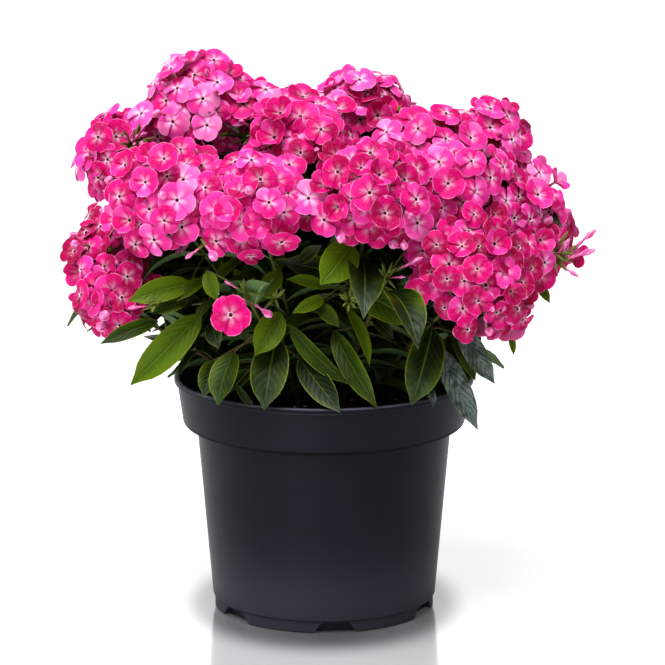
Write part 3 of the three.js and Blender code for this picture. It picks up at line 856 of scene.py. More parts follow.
def add_petals(shape, dice, opening, reflex, furl):
    """opening is the angle that a petal lifts from flat; furl narrows it, for a half-open one."""
    for petal in range(PETALS):
        spin = 2 * math.pi * petal / PETALS + dice.uniform(-0.05, 0.05)
        lift = opening + dice.uniform(-0.23, 0.2)
        tilt, curl = dice.uniform(-1.0, 1.0), dice.uniform(-1.6, 0.35)
        shape.shade = dice.random()
        stretch = dice.uniform(0.95, 1.03)
        rows = []
        for number, row in enumerate(petal_rows()):
            points = []
            for along, across in row:
                share = across / PETAL_HALF
                out = (along - THROAT_RADIUS) * (stretch if number else 1)
                bend = reflex * max(0.0, (out - BEND_FROM) / BEND_REACH) ** 2
                high = PETAL_TWIST * share + PETAL_CROWN * (1 - share * share) * min(1, out / CROWN_REACH)
                high += (tilt * share + curl * share * share) * (out / PETAL_REACH) ** 2 - bend
                side, rise = across * furl, high * math.cos(lift) + out * math.sin(lift)
                radius = THROAT_RADIUS + out * math.cos(lift) - high * math.sin(lift)
                x = radius * math.cos(spin) - side * math.sin(spin)
                y = radius * math.sin(spin) + side * math.cos(spin)
                points.append(shape.point((x, y, rise), (0.5 + across / MAP_WIDTH, along / MAP_LENGTH)))
            rows.append(points)
        for low, high in zip(rows, rows[1:]):
            shape.band(high, low, FRONT)
        shape.face(rows[0] + [rows[1][-1], rows[1][0]], BACK)
        shape.face((rows[1][0], rows[1][-1], rows[2][-1], rows[2][0]), BACK)
        shape.face([rows[2][0], rows[2][-1]] + rows[3][::-1], BACK)


def add_cup(shape, top, root):
    """The green cup that holds the tube; its top and its root are each a radius and a height."""
    high, low = shape.ring(*top, TUBE_SIDES), shape.ring(*root, TUBE_SIDES)
    shape.band(low, high, GREEN_PART, closed=True)
    shape.face(high, GREEN_PART)
    shape.face(low[::-1], GREEN_PART)


def add_tube(shape):
    """The flower's tube, and its pale mouth with the dark hole."""
    hole = shape.ring(1.65, -0.3, TUBE_SIDES)
    mouth = shape.ring(2.5, 0.72, TUBE_SIDES)
    neck = shape.ring(1.3, -1.2, TUBE_SIDES)
    root = shape.ring(1.0, -TUBE_LENGTH, TUBE_SIDES)
    shape.face(hole, EYE)
    shape.band(mouth, hole, RING, closed=True)
    shape.band(neck, mouth, TUBE, closed=True)
    shape.band(root, neck, TUBE, closed=True)
    shape.face(root[::-1], TUBE)


def flower(seed, opening, reflex, furl=1.0):
    dice = random.Random(seed)
    shape = Shape()
    add_petals(shape, dice, opening, reflex, furl)
    add_tube(shape)
    add_cup(shape, (1.7, 3.0 - TUBE_LENGTH), (0.8, -TUBE_LENGTH - 6.0))
    return shape.mesh(f"flower_{seed}", MM)


print("a petal has", len(petal_rows()), "rows of points")

# %% [markdown]
# A bud is the same flower still rolled up: five petals wound round each other into a spindle on
# top of the tube. One that is about to open is fatter, and very young ones are short green cups
# with a pink tip. Rings of six points are enough for them, as the winding is in the finish. Seven
# versions of the open flower and one half-open one keep the heads from looking stamped.

# %% Buds
BUD_PROFILE = ((1.0, -18.0), (1.15, -8.0), (1.3, -2.5), (2.5, 0.5), (2.7, 3.0), (1.7, 6.5), (0.3, 9.0))
ROLLED_PROFILE = ((1.0, -15.0), (1.2, -4.0), (3.2, -0.5), (4.6, 3.0), (4.3, 6.0), (2.6, 8.4), (0.8, 9.4))
YOUNG_PROFILE = ((0.5, -8.0), (1.3, -5.5), (1.5, -2.0), (0.9, 2.5), (0.1, 6.0))
BUD_SIDES = 6
BUD_TOP = 9.0
OPEN_KINDS = 7
OPEN = 0
HALF_OPEN, ROLLED, BUD, YOUNG = range(OPEN_KINDS, OPEN_KINDS + 4)
PETAL_NARROWING = (1.0, 0.93, 0.88, 1.0, 0.95, 0.9)


def bud(name, profile, green_rows, twist):
    """A spindle whose rings turn on their way up, so its map shows the winding."""
    shape = Shape()
    rows = []
    for radius, height in profile:
        row = shape.ring(radius, height, BUD_SIDES, twist * max(0.0, height) / BUD_TOP)
        for k, index in enumerate(row):
            shape.spots[index] = (k / BUD_SIDES, (height + TUBE_LENGTH) / (TUBE_LENGTH + BUD_TOP))
        rows.append(row)
    for number, (low, high) in enumerate(zip(rows, rows[1:])):
        shape.band(low, high, GREEN_PART if number < green_rows else TUBE, closed=True)
    shape.face(rows[0][::-1], GREEN_PART if green_rows else TUBE)
    shape.face(rows[-1], TUBE)
    if not green_rows:
        add_cup(shape, (1.8, -13.0), (0.9, -24.0))
    return shape.mesh(name, MM)


flower_meshes = [flower(seed, 0.08 - 0.04 * seed, 1.0 + 0.35 * seed, narrowing)
                 for seed, narrowing in enumerate(PETAL_NARROWING)]
flower_meshes += [flower(20, 0.32, 0.6), flower(31, 0.75, 0.0, 0.8)]
flower_meshes.append(bud("rolled_bud", ROLLED_PROFILE, 0, 2.6))
flower_meshes.append(bud("bud", BUD_PROFILE, 0, 2.2))
flower_meshes.append(bud("young_bud", YOUNG_PROFILE, 4, 1.0))
flower_box = shape_box("flower", flower_meshes)
print("flower shapes with", [len(mesh.polygons) for mesh in flower_meshes], "faces")

# %% [markdown]
# The petals are hot pink, paler at the rim. From the eye a white wedge runs out along the middle
# of each petal, feathered by the veins, and a darker line marks where two petals meet. The
# pattern reads the petal's own map, so it turns with every flower. The backs are a paler lilac.
# A flower's tone paints its head's light and shade, and a random number for each petal varies it.

# %% Petal finish
DEEP_PINK = colour(156, 0, 72)
HOT_PINK = colour(212, 0, 118)
SOFT_PINK = colour(240, 72, 170)
PALE_PINK = colour(250, 140, 200)
EDGE_PINK = colour(252, 204, 234)
WINE = colour(150, 0, 66)
STAR_WHITE = colour(250, 222, 244)
LILAC = colour(232, 140, 198)
MOUTH_LILAC = colour(232, 206, 210)
EYE_WINE = colour(84, 12, 46)

petal = Finish("phlox_petal", IOR=1.4, Subsurface_Weight=0.12, Subsurface_Scale=0.002,
               Specular_IOR_Level=0.2)
across, along = petal.surface()
across = (across - 0.5) * MAP_WIDTH
along = along * MAP_LENGTH
part, tone, one_petal = petal.value_of("part"), petal.value_of("tone"), petal.value_of("shade")
lean = abs(across) / (along * 0.74 + 0.4)
radius = (across * across + along * along) ** 0.5
vein = petal.noise(petal.stretch(across * 1.7, along * 0.14, tone * 40), 1.0, 2.0)
patch = petal.noise(petal.place(), 16.0, 2.0)
shade = tone * 0.6 + one_petal * 0.6 + (patch - 0.5) + (radius - 8) * 0.02
body = petal.blend(petal.ramp(shade, 0.0, 0.6), DEEP_PINK, HOT_PINK)
body = petal.blend(petal.ramp(shade, 0.45, 1.05), body, SOFT_PINK)
body = petal.blend(petal.ramp(shade, 0.95, 1.3), body, PALE_PINK)
body = petal.blend(petal.ramp(vein, 0.45, 0.75) * 0.35, body, DEEP_PINK)
mottle = petal.noise(petal.place(), 420.0, 3.0)
body = petal.blend(petal.ramp(mottle, 0.5, 0.7) * 0.12, body, PALE_PINK)
seam = petal.ramp(lean, 0.72, 1.0) * (1 - petal.ramp(along, 4.0, 8.5))
body = petal.blend(seam * 0.35, body, WINE)
reach = 5.6 + one_petal * 2.0 - lean * 3.0 + (vein - 0.5) * 7.0
star = petal.ramp(reach - along, -3.0, 4.5) * (1 - petal.ramp(lean, 0.0, 1.05))
body = petal.blend(star * (0.36 + tone * 0.36), body, STAR_WHITE)
body = petal.blend(petal.ramp(radius, 13.8, 14.5) * 0.38, body, EDGE_PINK)
fold = abs((across * 0.47 + along * 0.8).sine())
rolled = (part > TUBE - 0.5) * (1 - petal.ramp(fold, 0.1, 0.4))
body = petal.blend((part > BACK - 0.5) * 0.65, body, LILAC)
body = petal.blend(rolled * 0.45, body, STAR_WHITE)
body = petal.blend((part > TUBE - 0.5) * petal.ramp(fold, 0.6, 0.95) * 0.5, body, HOT_PINK)
body = petal.blend(part > RING - 0.5, body, MOUTH_LILAC)
body = petal.blend(part > EYE - 0.5, body, EYE_WINE)
petal.wear(body, 0.5 + vein * 0.16, vein, 0.35, 0.0004)
print("petal finish of", len(petal.tree.nodes), "nodes")

# %% [markdown]
# Stalks and cups are a streaky yellow green, and turn reddish brown as the flower's tone rises.
# They have a finish of their own, so that they never pick up the petals' pattern.

# %% Stalk finish
green_cup = Finish("flower_stalk_green", IOR=1.4)
spot = green_cup.place()
streak = green_cup.noise(spot, 300.0, 3.0)
cup_tone = green_cup.value_of("tone")
cup = green_cup.blend(streak, colour(72, 94, 30), colour(132, 148, 66))
cup = green_cup.blend(cup_tone * 0.5, cup, colour(116, 62, 48))
green_cup.wear(cup, 0.5 + streak * 0.2, streak, 0.4, 0.0004)
print("stalk finish of", len(green_cup.tree.nodes), "nodes")

# %% [markdown]
# ## Where the flowers stand
# A phlox head is a dome: its branches all reach about the same distance from one centre, and each
# ends in a flower that faces out. The flowers are spread over the domes so that none is nearer
# than some six tenths of its width to the next, and neighbours stand at different depths, so one
# lies over the other. Where two domes run into each other, only the outer surface carries flowers.
# Heads open one after the other, and the youngest still have smaller flowers or patches of closed
# buds. Each head's tone paints light and shade: paler pink in the light, deeper pink in shade.

# %% Flower heads
HEADS = {  # centre and radius in mm, and a tone that paints light and shade: high in light, low in shade
    "top_left": ((-98, 25, 387), 38, 0.75),
    "top_left_inner": ((-48, 12, 371), 27, 0.8),
    "left_high": ((-154, 28, 347), 36, 0.8),
    "front_left": ((-115, -68, 329), 44, 0.45),
    "left_low": ((-164, -14, 279), 31, -0.15),
    "left_foot": ((-158, -54, 251), 27, -0.15),
    "front_middle_left": ((-50, -96, 331), 37, 0.4),
    "middle": ((-14, -26, 362), 38, 0.15),
    "top_middle": ((29, 50, 380), 33, 0.85),
    "front_middle_right": ((36, -98, 337), 40, 0.25),
    "right_middle_high": ((78, -4, 354), 34, 0.75),
    "right_middle": ((97, -54, 338), 28, 0.4),
    "top_right": ((128, 46, 355), 32, 1.1),
    "right_front_high": ((130, -22, 320), 30, 0.9),
    "right_side": ((158, 26, 306), 29, 0.75),
    "right_foot": ((158, -30, 282), 23, 0.4),
    "front_right": ((112, -100, 277), 47, -0.4),
    "far_left": ((-122, 104, 322), 43, 0.5),
    "far_middle_left": ((-42, 92, 346), 40, 0.5),
    "far_middle_right": ((42, 112, 334), 42, 0.5),
    "far_right": ((116, 110, 312), 41, 0.5),
    "far_right_side": ((169, 84, 272), 32, 0.5),
    "far_left_side": ((-160, 66, 262), 34, 0.5),
    "back_left": ((-70, 132, 266), 41, 0.5),
    "back_right": ((36, 134, 252), 40, 0.5),
}
SMALLER = {  # heads whose flowers are smaller than the others'
    "front_right": 0.84, "right_foot": 0.86, "right_side": 0.9, "right_front_high": 0.92, "left_low": 0.9,
    "left_foot": 0.88,
}
TUFTS = {  # heads with a patch of closed buds: the way it faces, half angle, depth, young and older buds
    "left_high": ((0.27, -0.87, 0.42), 0.46, 2, 18, 9),
    "right_foot": ((0.85, -0.5, 0.15), 0.62, 6, 12, 0),
    "front_right": ((-0.43, -0.89, -0.14), 0.24, 24, 12, 0),
    "top_left_inner": ((-0.4, -0.85, -0.3), 0.6, 14, 18, 2),
}
SPRAYS = {  # small side shoots in front: where they branch
    "front_bloom": (-58, -114, 270),
    "front_buds": (46, -112, 282),
}

centres = {name: Vector(head[0]) for name, head in HEADS.items()}
radii = {name: head[1] for name, head in HEADS.items()}
head_names = list(HEADS)
centre_table = np.array([centres[name] for name in head_names], float)
radius_table = np.array([radii[name] for name in head_names], float)
print(len(HEADS), "heads and", len(SPRAYS), "sprays")

# %% [markdown]
# Spots are wound evenly round each dome, like the seeds of a sunflower, and moved out to the
# smooth surface that joins all the domes. Then they are picked one by one, each as far as it can
# be from those before it. Scattering at random would leave holes, and a regular grid shows.

# %% Spots on the domes
HEAD_PIVOT = Vector((0, 0, 195))
CAP_ANGLE = math.radians(112)
CANDIDATES = 420
FLOWER_SPACING = 16.2
BURIED = 4.0
AXIS_LIFT = Vector((0, 0, 0.8))
UNION_SOFTNESS = 0.085
UNION_STEPS = 5
MOST_RISE = 9.0
TOWARDS_LIGHT = 0.75
LIGHT_PIVOT = Vector((0, 30, 235))
TOWARDS_FRONT = 0.7
FRONT_FADE = (30, 125)


def outward(place):
    """The way the joined surface of all the domes faces at a place."""
    apart = np.array(place) - centre_table
    distance = np.linalg.norm(apart, axis=1)
    weight = np.exp(-UNION_SOFTNESS * (distance - radius_table))
    return Vector(((apart / distance[:, None]) * weight[:, None]).sum(axis=0)).normalized()


def onto_surface(start):
    """Moves a place out to the surface that joins all the domes, by no more than MOST_RISE."""
    place = start
    for _ in range(UNION_STEPS):
        distance = np.linalg.norm(np.array(place) - centre_table, axis=1)
        depth = math.log(np.exp(-UNION_SOFTNESS * (distance - radius_table)).sum()) / UNION_SOFTNESS
        place = place + outward(place) * depth
    rise = place - start
    return start + rise.normalized() * min(rise.length, MOST_RISE) if rise.length > 0 else place


def turned_to_light(place):
    """Flowers face out of their dome, but lean towards the outside of the plant and the window."""
    ahead = min(1.0, max(0.0, (FRONT_FADE[1] - place.y) / (FRONT_FADE[1] - FRONT_FADE[0])))
    lean = (place - LIGHT_PIVOT).normalized() * TOWARDS_LIGHT + Vector((0, -TOWARDS_FRONT * ahead, 0))
    return (outward(place) + lean).normalized()


def dome_spots(name, dice):
    """Evenly wound spots on one dome, without those inside a neighbour."""
    centre, radius = centres[name], radii[name]
    axis = (centre - HEAD_PIVOT).normalized()
    upright = Vector((0, 0, 1)).rotation_difference((axis + AXIS_LIFT).normalized())
    golden = math.pi * (3 - math.sqrt(5))
    spots = []
    for k in range(CANDIDATES):
        height = 1 - (1 - math.cos(CAP_ANGLE)) * (k + 0.5) / CANDIDATES
        flat = math.sqrt(1 - height * height)
        turn = golden * k + dice.uniform(-0.2, 0.2)
        direction = upright @ Vector((flat * math.cos(turn), flat * math.sin(turn), height))
        place = centre + direction * radius
        depth = radius_table - np.linalg.norm(np.array(place) - centre_table, axis=1)
        depth[head_names.index(name)] = 0
        if depth.max() > BURIED:
            continue
        if name in TUFTS and direction.angle(Vector(TUFTS[name][0])) < TUFTS[name][1]:
            continue
        spots.append((name, onto_surface(place)))
    return spots


def spread(spots, spacing):
    """Picks spots one by one, each as far as it can be from those before it."""
    places = np.array([place for _, place in spots], float)
    nearest = np.full(len(spots), 1e9)
    chosen, pick = [], 0
    while nearest[pick] > spacing:
        chosen.append(pick)
        nearest = np.minimum(nearest, np.linalg.norm(places - places[pick], axis=1))
        nearest[pick] = 0
        pick = int(nearest.argmax())
    return chosen


dice = random.Random(25)
spots = [spot for name in head_names for spot in dome_spots(name, dice)]
chosen = spread(spots, FLOWER_SPACING)
print(len(spots), "spots,", len(chosen), "flowers")

# %% [markdown]
# Each chosen flower gets a level that differs most from its neighbours' levels, a small random
# lean, and a tone: its head's tone, which paints light and shade, spread at random. A curved stalk
# joins it to the place where its head branches.

# %% Levels and stalks
LEVELS = 4
FIRST_LEVEL, LEVEL_STEP = 0.5, 2.8
SAME_LEVEL, NEXT_LEVEL = 2.0, 0.5
NEIGHBOUR_REACH = 27.0
HALF_OPEN_SHARE = 0.06
LEAN = 0.28
STALK_RADIUS = 0.55 * MM
STALK_RADII = (STALK_RADIUS * 1.5, STALK_RADIUS, STALK_RADIUS)
STALK_BEND = 3
BRANCH_SHARE = 0.35
OUTER_BRANCH, CORE_BRANCH = 0.5, 1.0
CUP_BELOW, YOUNG_BELOW = TUBE_LENGTH + 5.5, 8.0
FLOWER_SIZES = (0.82, 1.02)
TONE_SPREAD = 0.3
DEEPEST_TONE, PALEST_TONE = -0.4, 1.0


def pick_levels(places, dice):
    levels = []
    for k, place in enumerate(places):
        cost = [dice.uniform(0, 0.3) for _ in range(LEVELS)]
        for other in range(k):
            gap = (places[other] - place).length
            if gap < NEIGHBOUR_REACH:
                for level in range(LEVELS):
                    alike = {0: SAME_LEVEL, 1: NEXT_LEVEL}.get(abs(level - levels[other]), 0)
                    cost[level] += (NEIGHBOUR_REACH / max(gap, 1)) * alike
        levels.append(cost.index(min(cost)))
    return levels


def tilted(direction, amount, dice):
    sideways = Vector((dice.gauss(0, 1), dice.gauss(0, 1), dice.gauss(0, 1)))
    return (direction + sideways * amount / 1.7).normalized()


def branch_of(name, depth):
    """Where the stalks of a head part, below its centre."""
    axis = (centres[name] - HEAD_PIVOT).normalized()
    return centres[name] - axis * radii[name] * BRANCH_SHARE * depth


def add_flower(skeleton, kind, place, facing, branch, dice, size, tone):
    """A flower at a place, and the curved stalk from the branch to its green cup."""
    spin = facing.orthogonal().normalized()
    turn = dice.uniform(0, 2 * math.pi)
    across = spin * math.cos(turn) + facing.cross(spin) * math.sin(turn)
    scale = size * dice.uniform(*FLOWER_SIZES)
    skeleton.plant(kind, place * MM, facing, across, (scale, scale, scale), tone)
    cup = place - facing * (YOUNG_BELOW if kind == YOUNG else CUP_BELOW) * scale
    bend = (cup + branch) / 2 - facing * STALK_BEND
    skeleton.path([branch * MM, bend * MM, cup * MM], STALK_RADII, tone)


skeletons = {name: Skeleton() for name in (*HEADS, *SPRAYS)}
places = [spots[k][1] for k in chosen]
levels = pick_levels(places, dice)
for k, place, level in zip(chosen, places, levels):
    name = spots[k][0]
    facing = turned_to_light(place)
    lowered = place - outward(place) * (FIRST_LEVEL + LEVEL_STEP * level)
    kind = HALF_OPEN if dice.random() < HALF_OPEN_SHARE else dice.randrange(OPEN_KINDS)
    # the head's tone paints light and shade: paler in the light, deeper in shade
    tone = min(PALEST_TONE, max(DEEPEST_TONE, dice.gauss(HEADS[name][2], TONE_SPREAD)))
    add_flower(skeletons[name], kind, lowered, tilted(facing, LEAN, dice),
               branch_of(name, OUTER_BRANCH), dice, SMALLER.get(name, 1.0), tone)
print("flowers on each level:", [levels.count(level) for level in range(LEVELS)])

# %% [markdown]
# Between the open flowers, deeper in the dome, others stand in their shade: younger open ones,
# half-open cups and rolled buds. A few dozen more fill the core of each head. A low tone paints
# them deep pink as painted shade; they give the head its depth, where bare stalks let light through.

# %% Young flowers in the gaps
INNER_DEPTH = 9.5
INNER_SPACING = 15.0
OUTER_CLEARANCE = 10.5
INNER_OPEN_SHARE = 0.72
INNER_SIZE, INNER_LEAN = 0.95, 0.25
YOUNG_DEPTH = 6.0
CORE_FLOWERS = 24
CORE_SPLAY = 1.3
CORE_DEPTHS = (0.35, 0.72)
CORE_LEAN = 0.3

inner = [spot for spot in spots if min((spot[1] - p).length for p in places) > OUTER_CLEARANCE]
inner_chosen = spread(inner, INNER_SPACING)
for k in inner_chosen:
    name, place = inner[k]
    young = dice.random() > INNER_OPEN_SHARE
    kind = dice.choice((HALF_OPEN, ROLLED, BUD)) if young else dice.randrange(OPEN_KINDS)
    lowered = place - outward(place) * (YOUNG_DEPTH if young else INNER_DEPTH)
    facing = tilted(turned_to_light(place), INNER_LEAN, dice)
    # a low tone: painted shade for the flowers deeper in the dome
    add_flower(skeletons[name], kind, lowered, facing, branch_of(name, OUTER_BRANCH), dice,
               INNER_SIZE, dice.uniform(0, 0.5))
for name in head_names:
    turns = random.Random(name)
    axis = (centres[name] - HEAD_PIVOT).normalized()
    for _ in range(CORE_FLOWERS):
        way = tilted(axis, CORE_SPLAY, turns)
        place = centres[name] + way * radii[name] * turns.uniform(*CORE_DEPTHS)
        kind, facing = turns.randrange(OPEN_KINDS), tilted(way, CORE_LEAN, turns)
        # a lower tone still: painted shade deep in the head
        add_flower(skeletons[name], kind, place, facing, branch_of(name, CORE_BRANCH), turns, 1.0,
                   turns.uniform(0, 0.2))
print(len(inner_chosen), "younger flowers in the gaps and", len(head_names) * CORE_FLOWERS,
      "deep in the heads")

# %% [markdown]
# Some flowers and buds stand where they catch the eye, so they are set one by one: long buds that
# stick out at the edges, flowers that are just unrolling, some that hang and show their backs,
# and one lone flower in front of the leaves. Heads with a late side branch have a tuft of green
# buds, and small stars of young buds stand between the leaves.

# %% Tufts and sprays of buds
LONE_FLOWER, LONE_FACING = Vector((-68, -126, 256)), Vector((-0.2, -0.93, 0.22))
LONE_SIZE, LONE_TONE = 1.1, -0.15
TUFT_REACH, STAR_SPLAY, STAR_SIZE = 14, 0.95, 0.9
OLDER_REACH, OLDER_SPLAY, OLDER_SIZE = 15, 0.7, 0.6
TIP_LENGTH = 9
SPRIGS = (  # owner, foot, tip, kind, size and tone of each bud or flower that is set one by one
    ("front_bloom", (-58, -112, 266), (-37, -120, 253), ROLLED, 0.85, 0.9),
    ("front_bloom", (-58, -114, 270), (-73, -114, 279), BUD, 0.5, 0.9),
    ("front_buds", (48, -112, 284), (73, -124, 299), BUD, 0.95, 0.9),
    ("front_buds", (46, -112, 281), (60, -120, 283), BUD, 0.55, 0.9),
    ("left_foot", (-121, -92, 257), (-145, -104, 256), BUD, 0.75, 0.9),
    ("front_left", (-92, -116, 303), (-101, -126, 298), BUD, 0.7, 0.9),
    ("front_left", (-88, -114, 308), (-78, -134, 299), ROLLED, 0.95, 0.9),
    ("front_middle_right", (16, -122, 320), (12, -137, 313), ROLLED, 0.75, 0.9),
    ("front_middle_right", (54, -118, 314), (50, -133, 308), ROLLED, 0.8, 0.9),
    ("front_middle_right", (58, -118, 314), (59, -133, 307), ROLLED, 0.7, 0.9),
    ("left_low", (-180, -36, 290), (-189, -50, 294), ROLLED, 0.8, 0.9),
    ("top_left", (-120, -4, 384), (-127, -20, 388), ROLLED, 0.8, 0.9),
    ("right_foot", (176, -40, 279), (205, -44, 304), BUD, 1.0, 0.9),
    ("right_foot", (176, -42, 279), (204, -48, 289), BUD, 1.0, 0.9),
    ("right_foot", (176, -42, 277), (192, -50, 268), BUD, 0.8, 0.9),
    ("right_foot", (174, -40, 281), (184, -52, 298), BUD, 0.9, 0.9),
    ("front_middle_left", (-32, -108, 324), (-30, -132, 305), OPEN, 0.95, 0.0),
    ("front_middle_left", (-54, -104, 312), (-53, -124, 294), OPEN, 0.8, 0.0),
    ("front_right", (118, -122, 259), (121, -110, 236), OPEN, 0.95, 0.6),
    ("front_right", (134, -116, 256), (141, -104, 235), OPEN, 0.9, 0.6),
)
STARS = (  # owner, middle, the way it faces, reach and number of its young buds
    ("front_buds", (19, -112, 264), (0.0, -0.9, 0.45), 9, 14),
    ("front_buds", (46, -114, 281), (0.0, -0.9, 0.3), 8, 8),
    ("front_bloom", (-58, -112, 270), (0.0, -0.8, 0.6), 8, 8),
    ("front_bloom", (-36, -108, 265), (0.2, -0.8, 0.6), 7, 8),
    ("left_foot", (-124, -94, 257), (-0.3, -0.8, 0.3), 8, 8),
)


def add_star(skeleton, middle, facing, reach, buds):
    """Young buds that spray out from one point."""
    for _ in range(buds):
        way = tilted(facing, STAR_SPLAY, dice)
        place = middle + way * reach * dice.uniform(0.8, 1.1)
        add_flower(skeleton, YOUNG, place, way, middle, dice, STAR_SIZE, dice.uniform(0, 0.4))


for name, (direction, _, depth, young, older) in TUFTS.items():
    facing = Vector(direction).normalized()
    root = centres[name] + facing * (radii[name] - depth)
    add_star(skeletons[name], root, facing, TUFT_REACH, young)
    for _ in range(older):
        way = tilted(facing, OLDER_SPLAY, dice)
        add_flower(skeletons[name], BUD, root + way * OLDER_REACH, way, root, dice, OLDER_SIZE, 1.0)
for name, middle, direction, reach, buds in STARS:
    add_star(skeletons[name], Vector(middle), Vector(direction).normalized(), reach, buds)
for name, foot, tip, kind, size, tone in SPRIGS:
    foot, tip = Vector(foot), Vector(tip)
    way = (tip - foot).normalized()
    add_flower(skeletons[name], kind, tip - way * TIP_LENGTH * size, way, foot, dice, size, tone)
add_flower(skeletons["front_bloom"], OPEN, LONE_FLOWER, LONE_FACING.normalized(),
           Vector(SPRAYS["front_bloom"]), dice, LONE_SIZE, LONE_TONE)
print(len(TUFTS), "tufts,", len(STARS), "stars and", len(SPRIGS) + 1, "flowers and buds set by hand")

# %% [markdown]
# Every head and spray is now a skeleton. The growing tree turns each into one piece, with petals
# in the petal finish, and stalks and cups in green. One piece for each head keeps them light to
# handle, and matches the nodes of the frame.

# %% Grow the heads
FLOWER_STALK_SIDES = 4

faces = 0
for name, skeleton in skeletons.items():
    piece = grow(f"florets_{name}", skeleton, flower_box, FLOWER_STALK_SIDES, petal.material,
                 green_cup.material)
    finish_piece(piece, "petal", f"bloom_{name}")
    faces += len(piece.data.polygons)
empty_box(flower_box)
print(len(skeletons), "heads and sprays with", faces, "faces")

# %% [markdown]
# ## Reading the leaves from the frame
# The CAD stems carry simple folded leaves, each two stations of three points and a tip, 0.8 mm
# thick. The same leaves are wanted here at the same places, so their points are read back from
# the frame: corners exactly one leaf's thickness apart are the two faces of one point, and three
# such points with one direction make a station.

# %% Leaf stations
LEAF_THICKNESS = 0.8 * MM
LEAF_FOLD = 0.17
NARROWING = 0.76
STATION_SHARES = (0.4, 0.74)
GRID = 2e-6
THICKNESS_SLACK = 5e-6
LENGTH_SLACK = 2e-5
FOLD_SLACK = 0.004
SAME_WAY, ALONG_FOLD = 0.012, 0.02
STATION_REACH = 0.036


def corner_points(node):
    """Each different corner of a node's mesh once, as loose triangles repeat them."""
    mesh = frame["nodes"][node].data
    numbers = np.empty(len(mesh.vertices) * 3)
    mesh.vertices.foreach_get("co", numbers)
    keys = np.unique(np.round(numbers.reshape(-1, 3) / GRID).astype(np.int64), axis=0)
    return [Vector(key * GRID) for key in keys.astype(float)]


def leaf_points(points):
    """(middle, direction) of each pair of corners one leaf's thickness apart."""
    tree = KDTree(len(points))
    for number, point in enumerate(points):
        tree.insert(point, number)
    tree.balance()
    pairs = []
    for number, point in enumerate(points):
        for other, index, distance in tree.find_range(point, LEAF_THICKNESS + THICKNESS_SLACK):
            if index > number and abs(distance - LEAF_THICKNESS) < THICKNESS_SLACK:
                pairs.append(((point + other) / 2, (point - other).normalized()))
    return pairs


def station(trio):
    """The station that three leaf points make, or None."""
    spots = [spot for spot, direction in trio]
    ends = max(itertools.combinations(range(3), 2), key=lambda two: (spots[two[0]] - spots[two[1]]).length)
    middle = ({0, 1, 2} - set(ends)).pop()
    left, rib, right = spots[ends[0]], spots[middle], spots[ends[1]]
    width = (right - left).length
    fold = (left + right) / 2 - rib
    even = abs((left - rib).length - (right - rib).length) < LENGTH_SLACK
    if not even or abs(fold.length / width - LEAF_FOLD) > FOLD_SLACK:
        return None
    if fold.normalized().cross(trio[0][1]).length > ALONG_FOLD:
        return None
    return {"rib": rib, "width": width, "up": fold.normalized(), "across": (right - left).normalized()}


def stations(pairs):
    """All stations among the leaf points, and the points that are left over."""
    found, used = [], set()
    for number, (spot, direction) in enumerate(pairs):
        if number in used:
            continue
        alike = [k for k, (other, way) in enumerate(pairs) if k not in used
                 and way.cross(direction).length < SAME_WAY and (other - spot).length < STATION_REACH]
        for trio in itertools.combinations(alike, 3):
            made = station([pairs[k] for k in trio]) if number in trio else None
            if made:
                found.append(made)
                used.update(trio)
                break
    return found, [pair for k, pair in enumerate(pairs) if k not in used]

# %% [markdown]
# Two stations of one leaf share their direction across, and the second is 0.76 as wide. With the
# tip they give the leaf's whole arched midrib, a curve with one control point. Where the stem or
# another leaf hides one station, the points in the same upright plane stand in for it.

# %% Leaves of a stem
SAME_ACROSS = 0.004
SAME_RATIO = 0.003
SQUARE_ON = 0.01
PLANE_SLACK = 1e-4
LEAF_END_REACH = 0.06


def midrib(first, second, tip):
    """Start and control point of the midrib through two stations and the tip."""
    (a, b), (c, d) = [((1 - t) ** 2, 2 * t * (1 - t)) for t in STATION_SHARES]
    left = first - tip * STATION_SHARES[0] ** 2
    right = second - tip * STATION_SHARES[1] ** 2
    scale = a * d - b * c
    return (left * d - right * b) / scale, (right * a - left * c) / scale


def leaves_of(node):
    """The leaves of one CAD stem, each with its start, control point, tip, width and upward side."""
    found, single = stations(leaf_points(corner_points(node)))
    leaves, used = [], set()

    def keep(first, second, tip, width, up):
        start, bend = midrib(first, second, tip)
        leaves.append({"start": start, "bend": bend, "tip": tip, "width": width, "up": up})

    for one, two in itertools.permutations(range(len(found)), 2):
        first, second = found[one], found[two]
        if first["across"].cross(second["across"]).length > SAME_ACROSS:
            continue
        if abs(second["width"] / first["width"] - NARROWING) > SAME_RATIO:
            continue
        gap = (second["rib"] - first["rib"]).length
        tips = [spot for spot, way in single if abs(way.dot(second["across"])) < SQUARE_ON
                and 0.5 * gap < (spot - second["rib"]).length < 1.1 * gap
                and abs((spot - second["rib"]).dot(second["across"])) < LENGTH_SLACK]
        if len(tips) == 1:
            keep(first["rib"], second["rib"], tips[0], first["width"], first["up"])
            used |= {one, two}
    for number, lone in enumerate(found):
        if number in used:
            continue
        in_plane = [spot for spot, way in single if abs(way.dot(lone["across"])) < SQUARE_ON
                    and abs((spot - lone["rib"]).dot(lone["across"])) < PLANE_SLACK
                    and (spot - lone["rib"]).length < LEAF_END_REACH]
        in_plane.sort(key=lambda spot: (spot - lone["rib"]).length)
        outer = [spot for spot in in_plane if spot.xy.length > lone["rib"].xy.length]
        inner = [spot for spot in in_plane if spot.xy.length < lone["rib"].xy.length]
        if len(outer) == 2:
            keep(lone["rib"], outer[0], outer[1], lone["width"], lone["up"])
        elif len(outer) == 1 and inner:
            keep(inner[0], lone["rib"], outer[0], lone["width"] / NARROWING, lone["up"])
    return leaves


stem_names = [name.removeprefix("stem_") for name in frame["nodes"] if name.startswith("stem_")]
cad_leaves = {name: leaves_of(f"stem_{name}") for name in stem_names}
print(sum(len(leaves) for leaves in cad_leaves.values()), "leaves read from", len(stem_names), "stems")

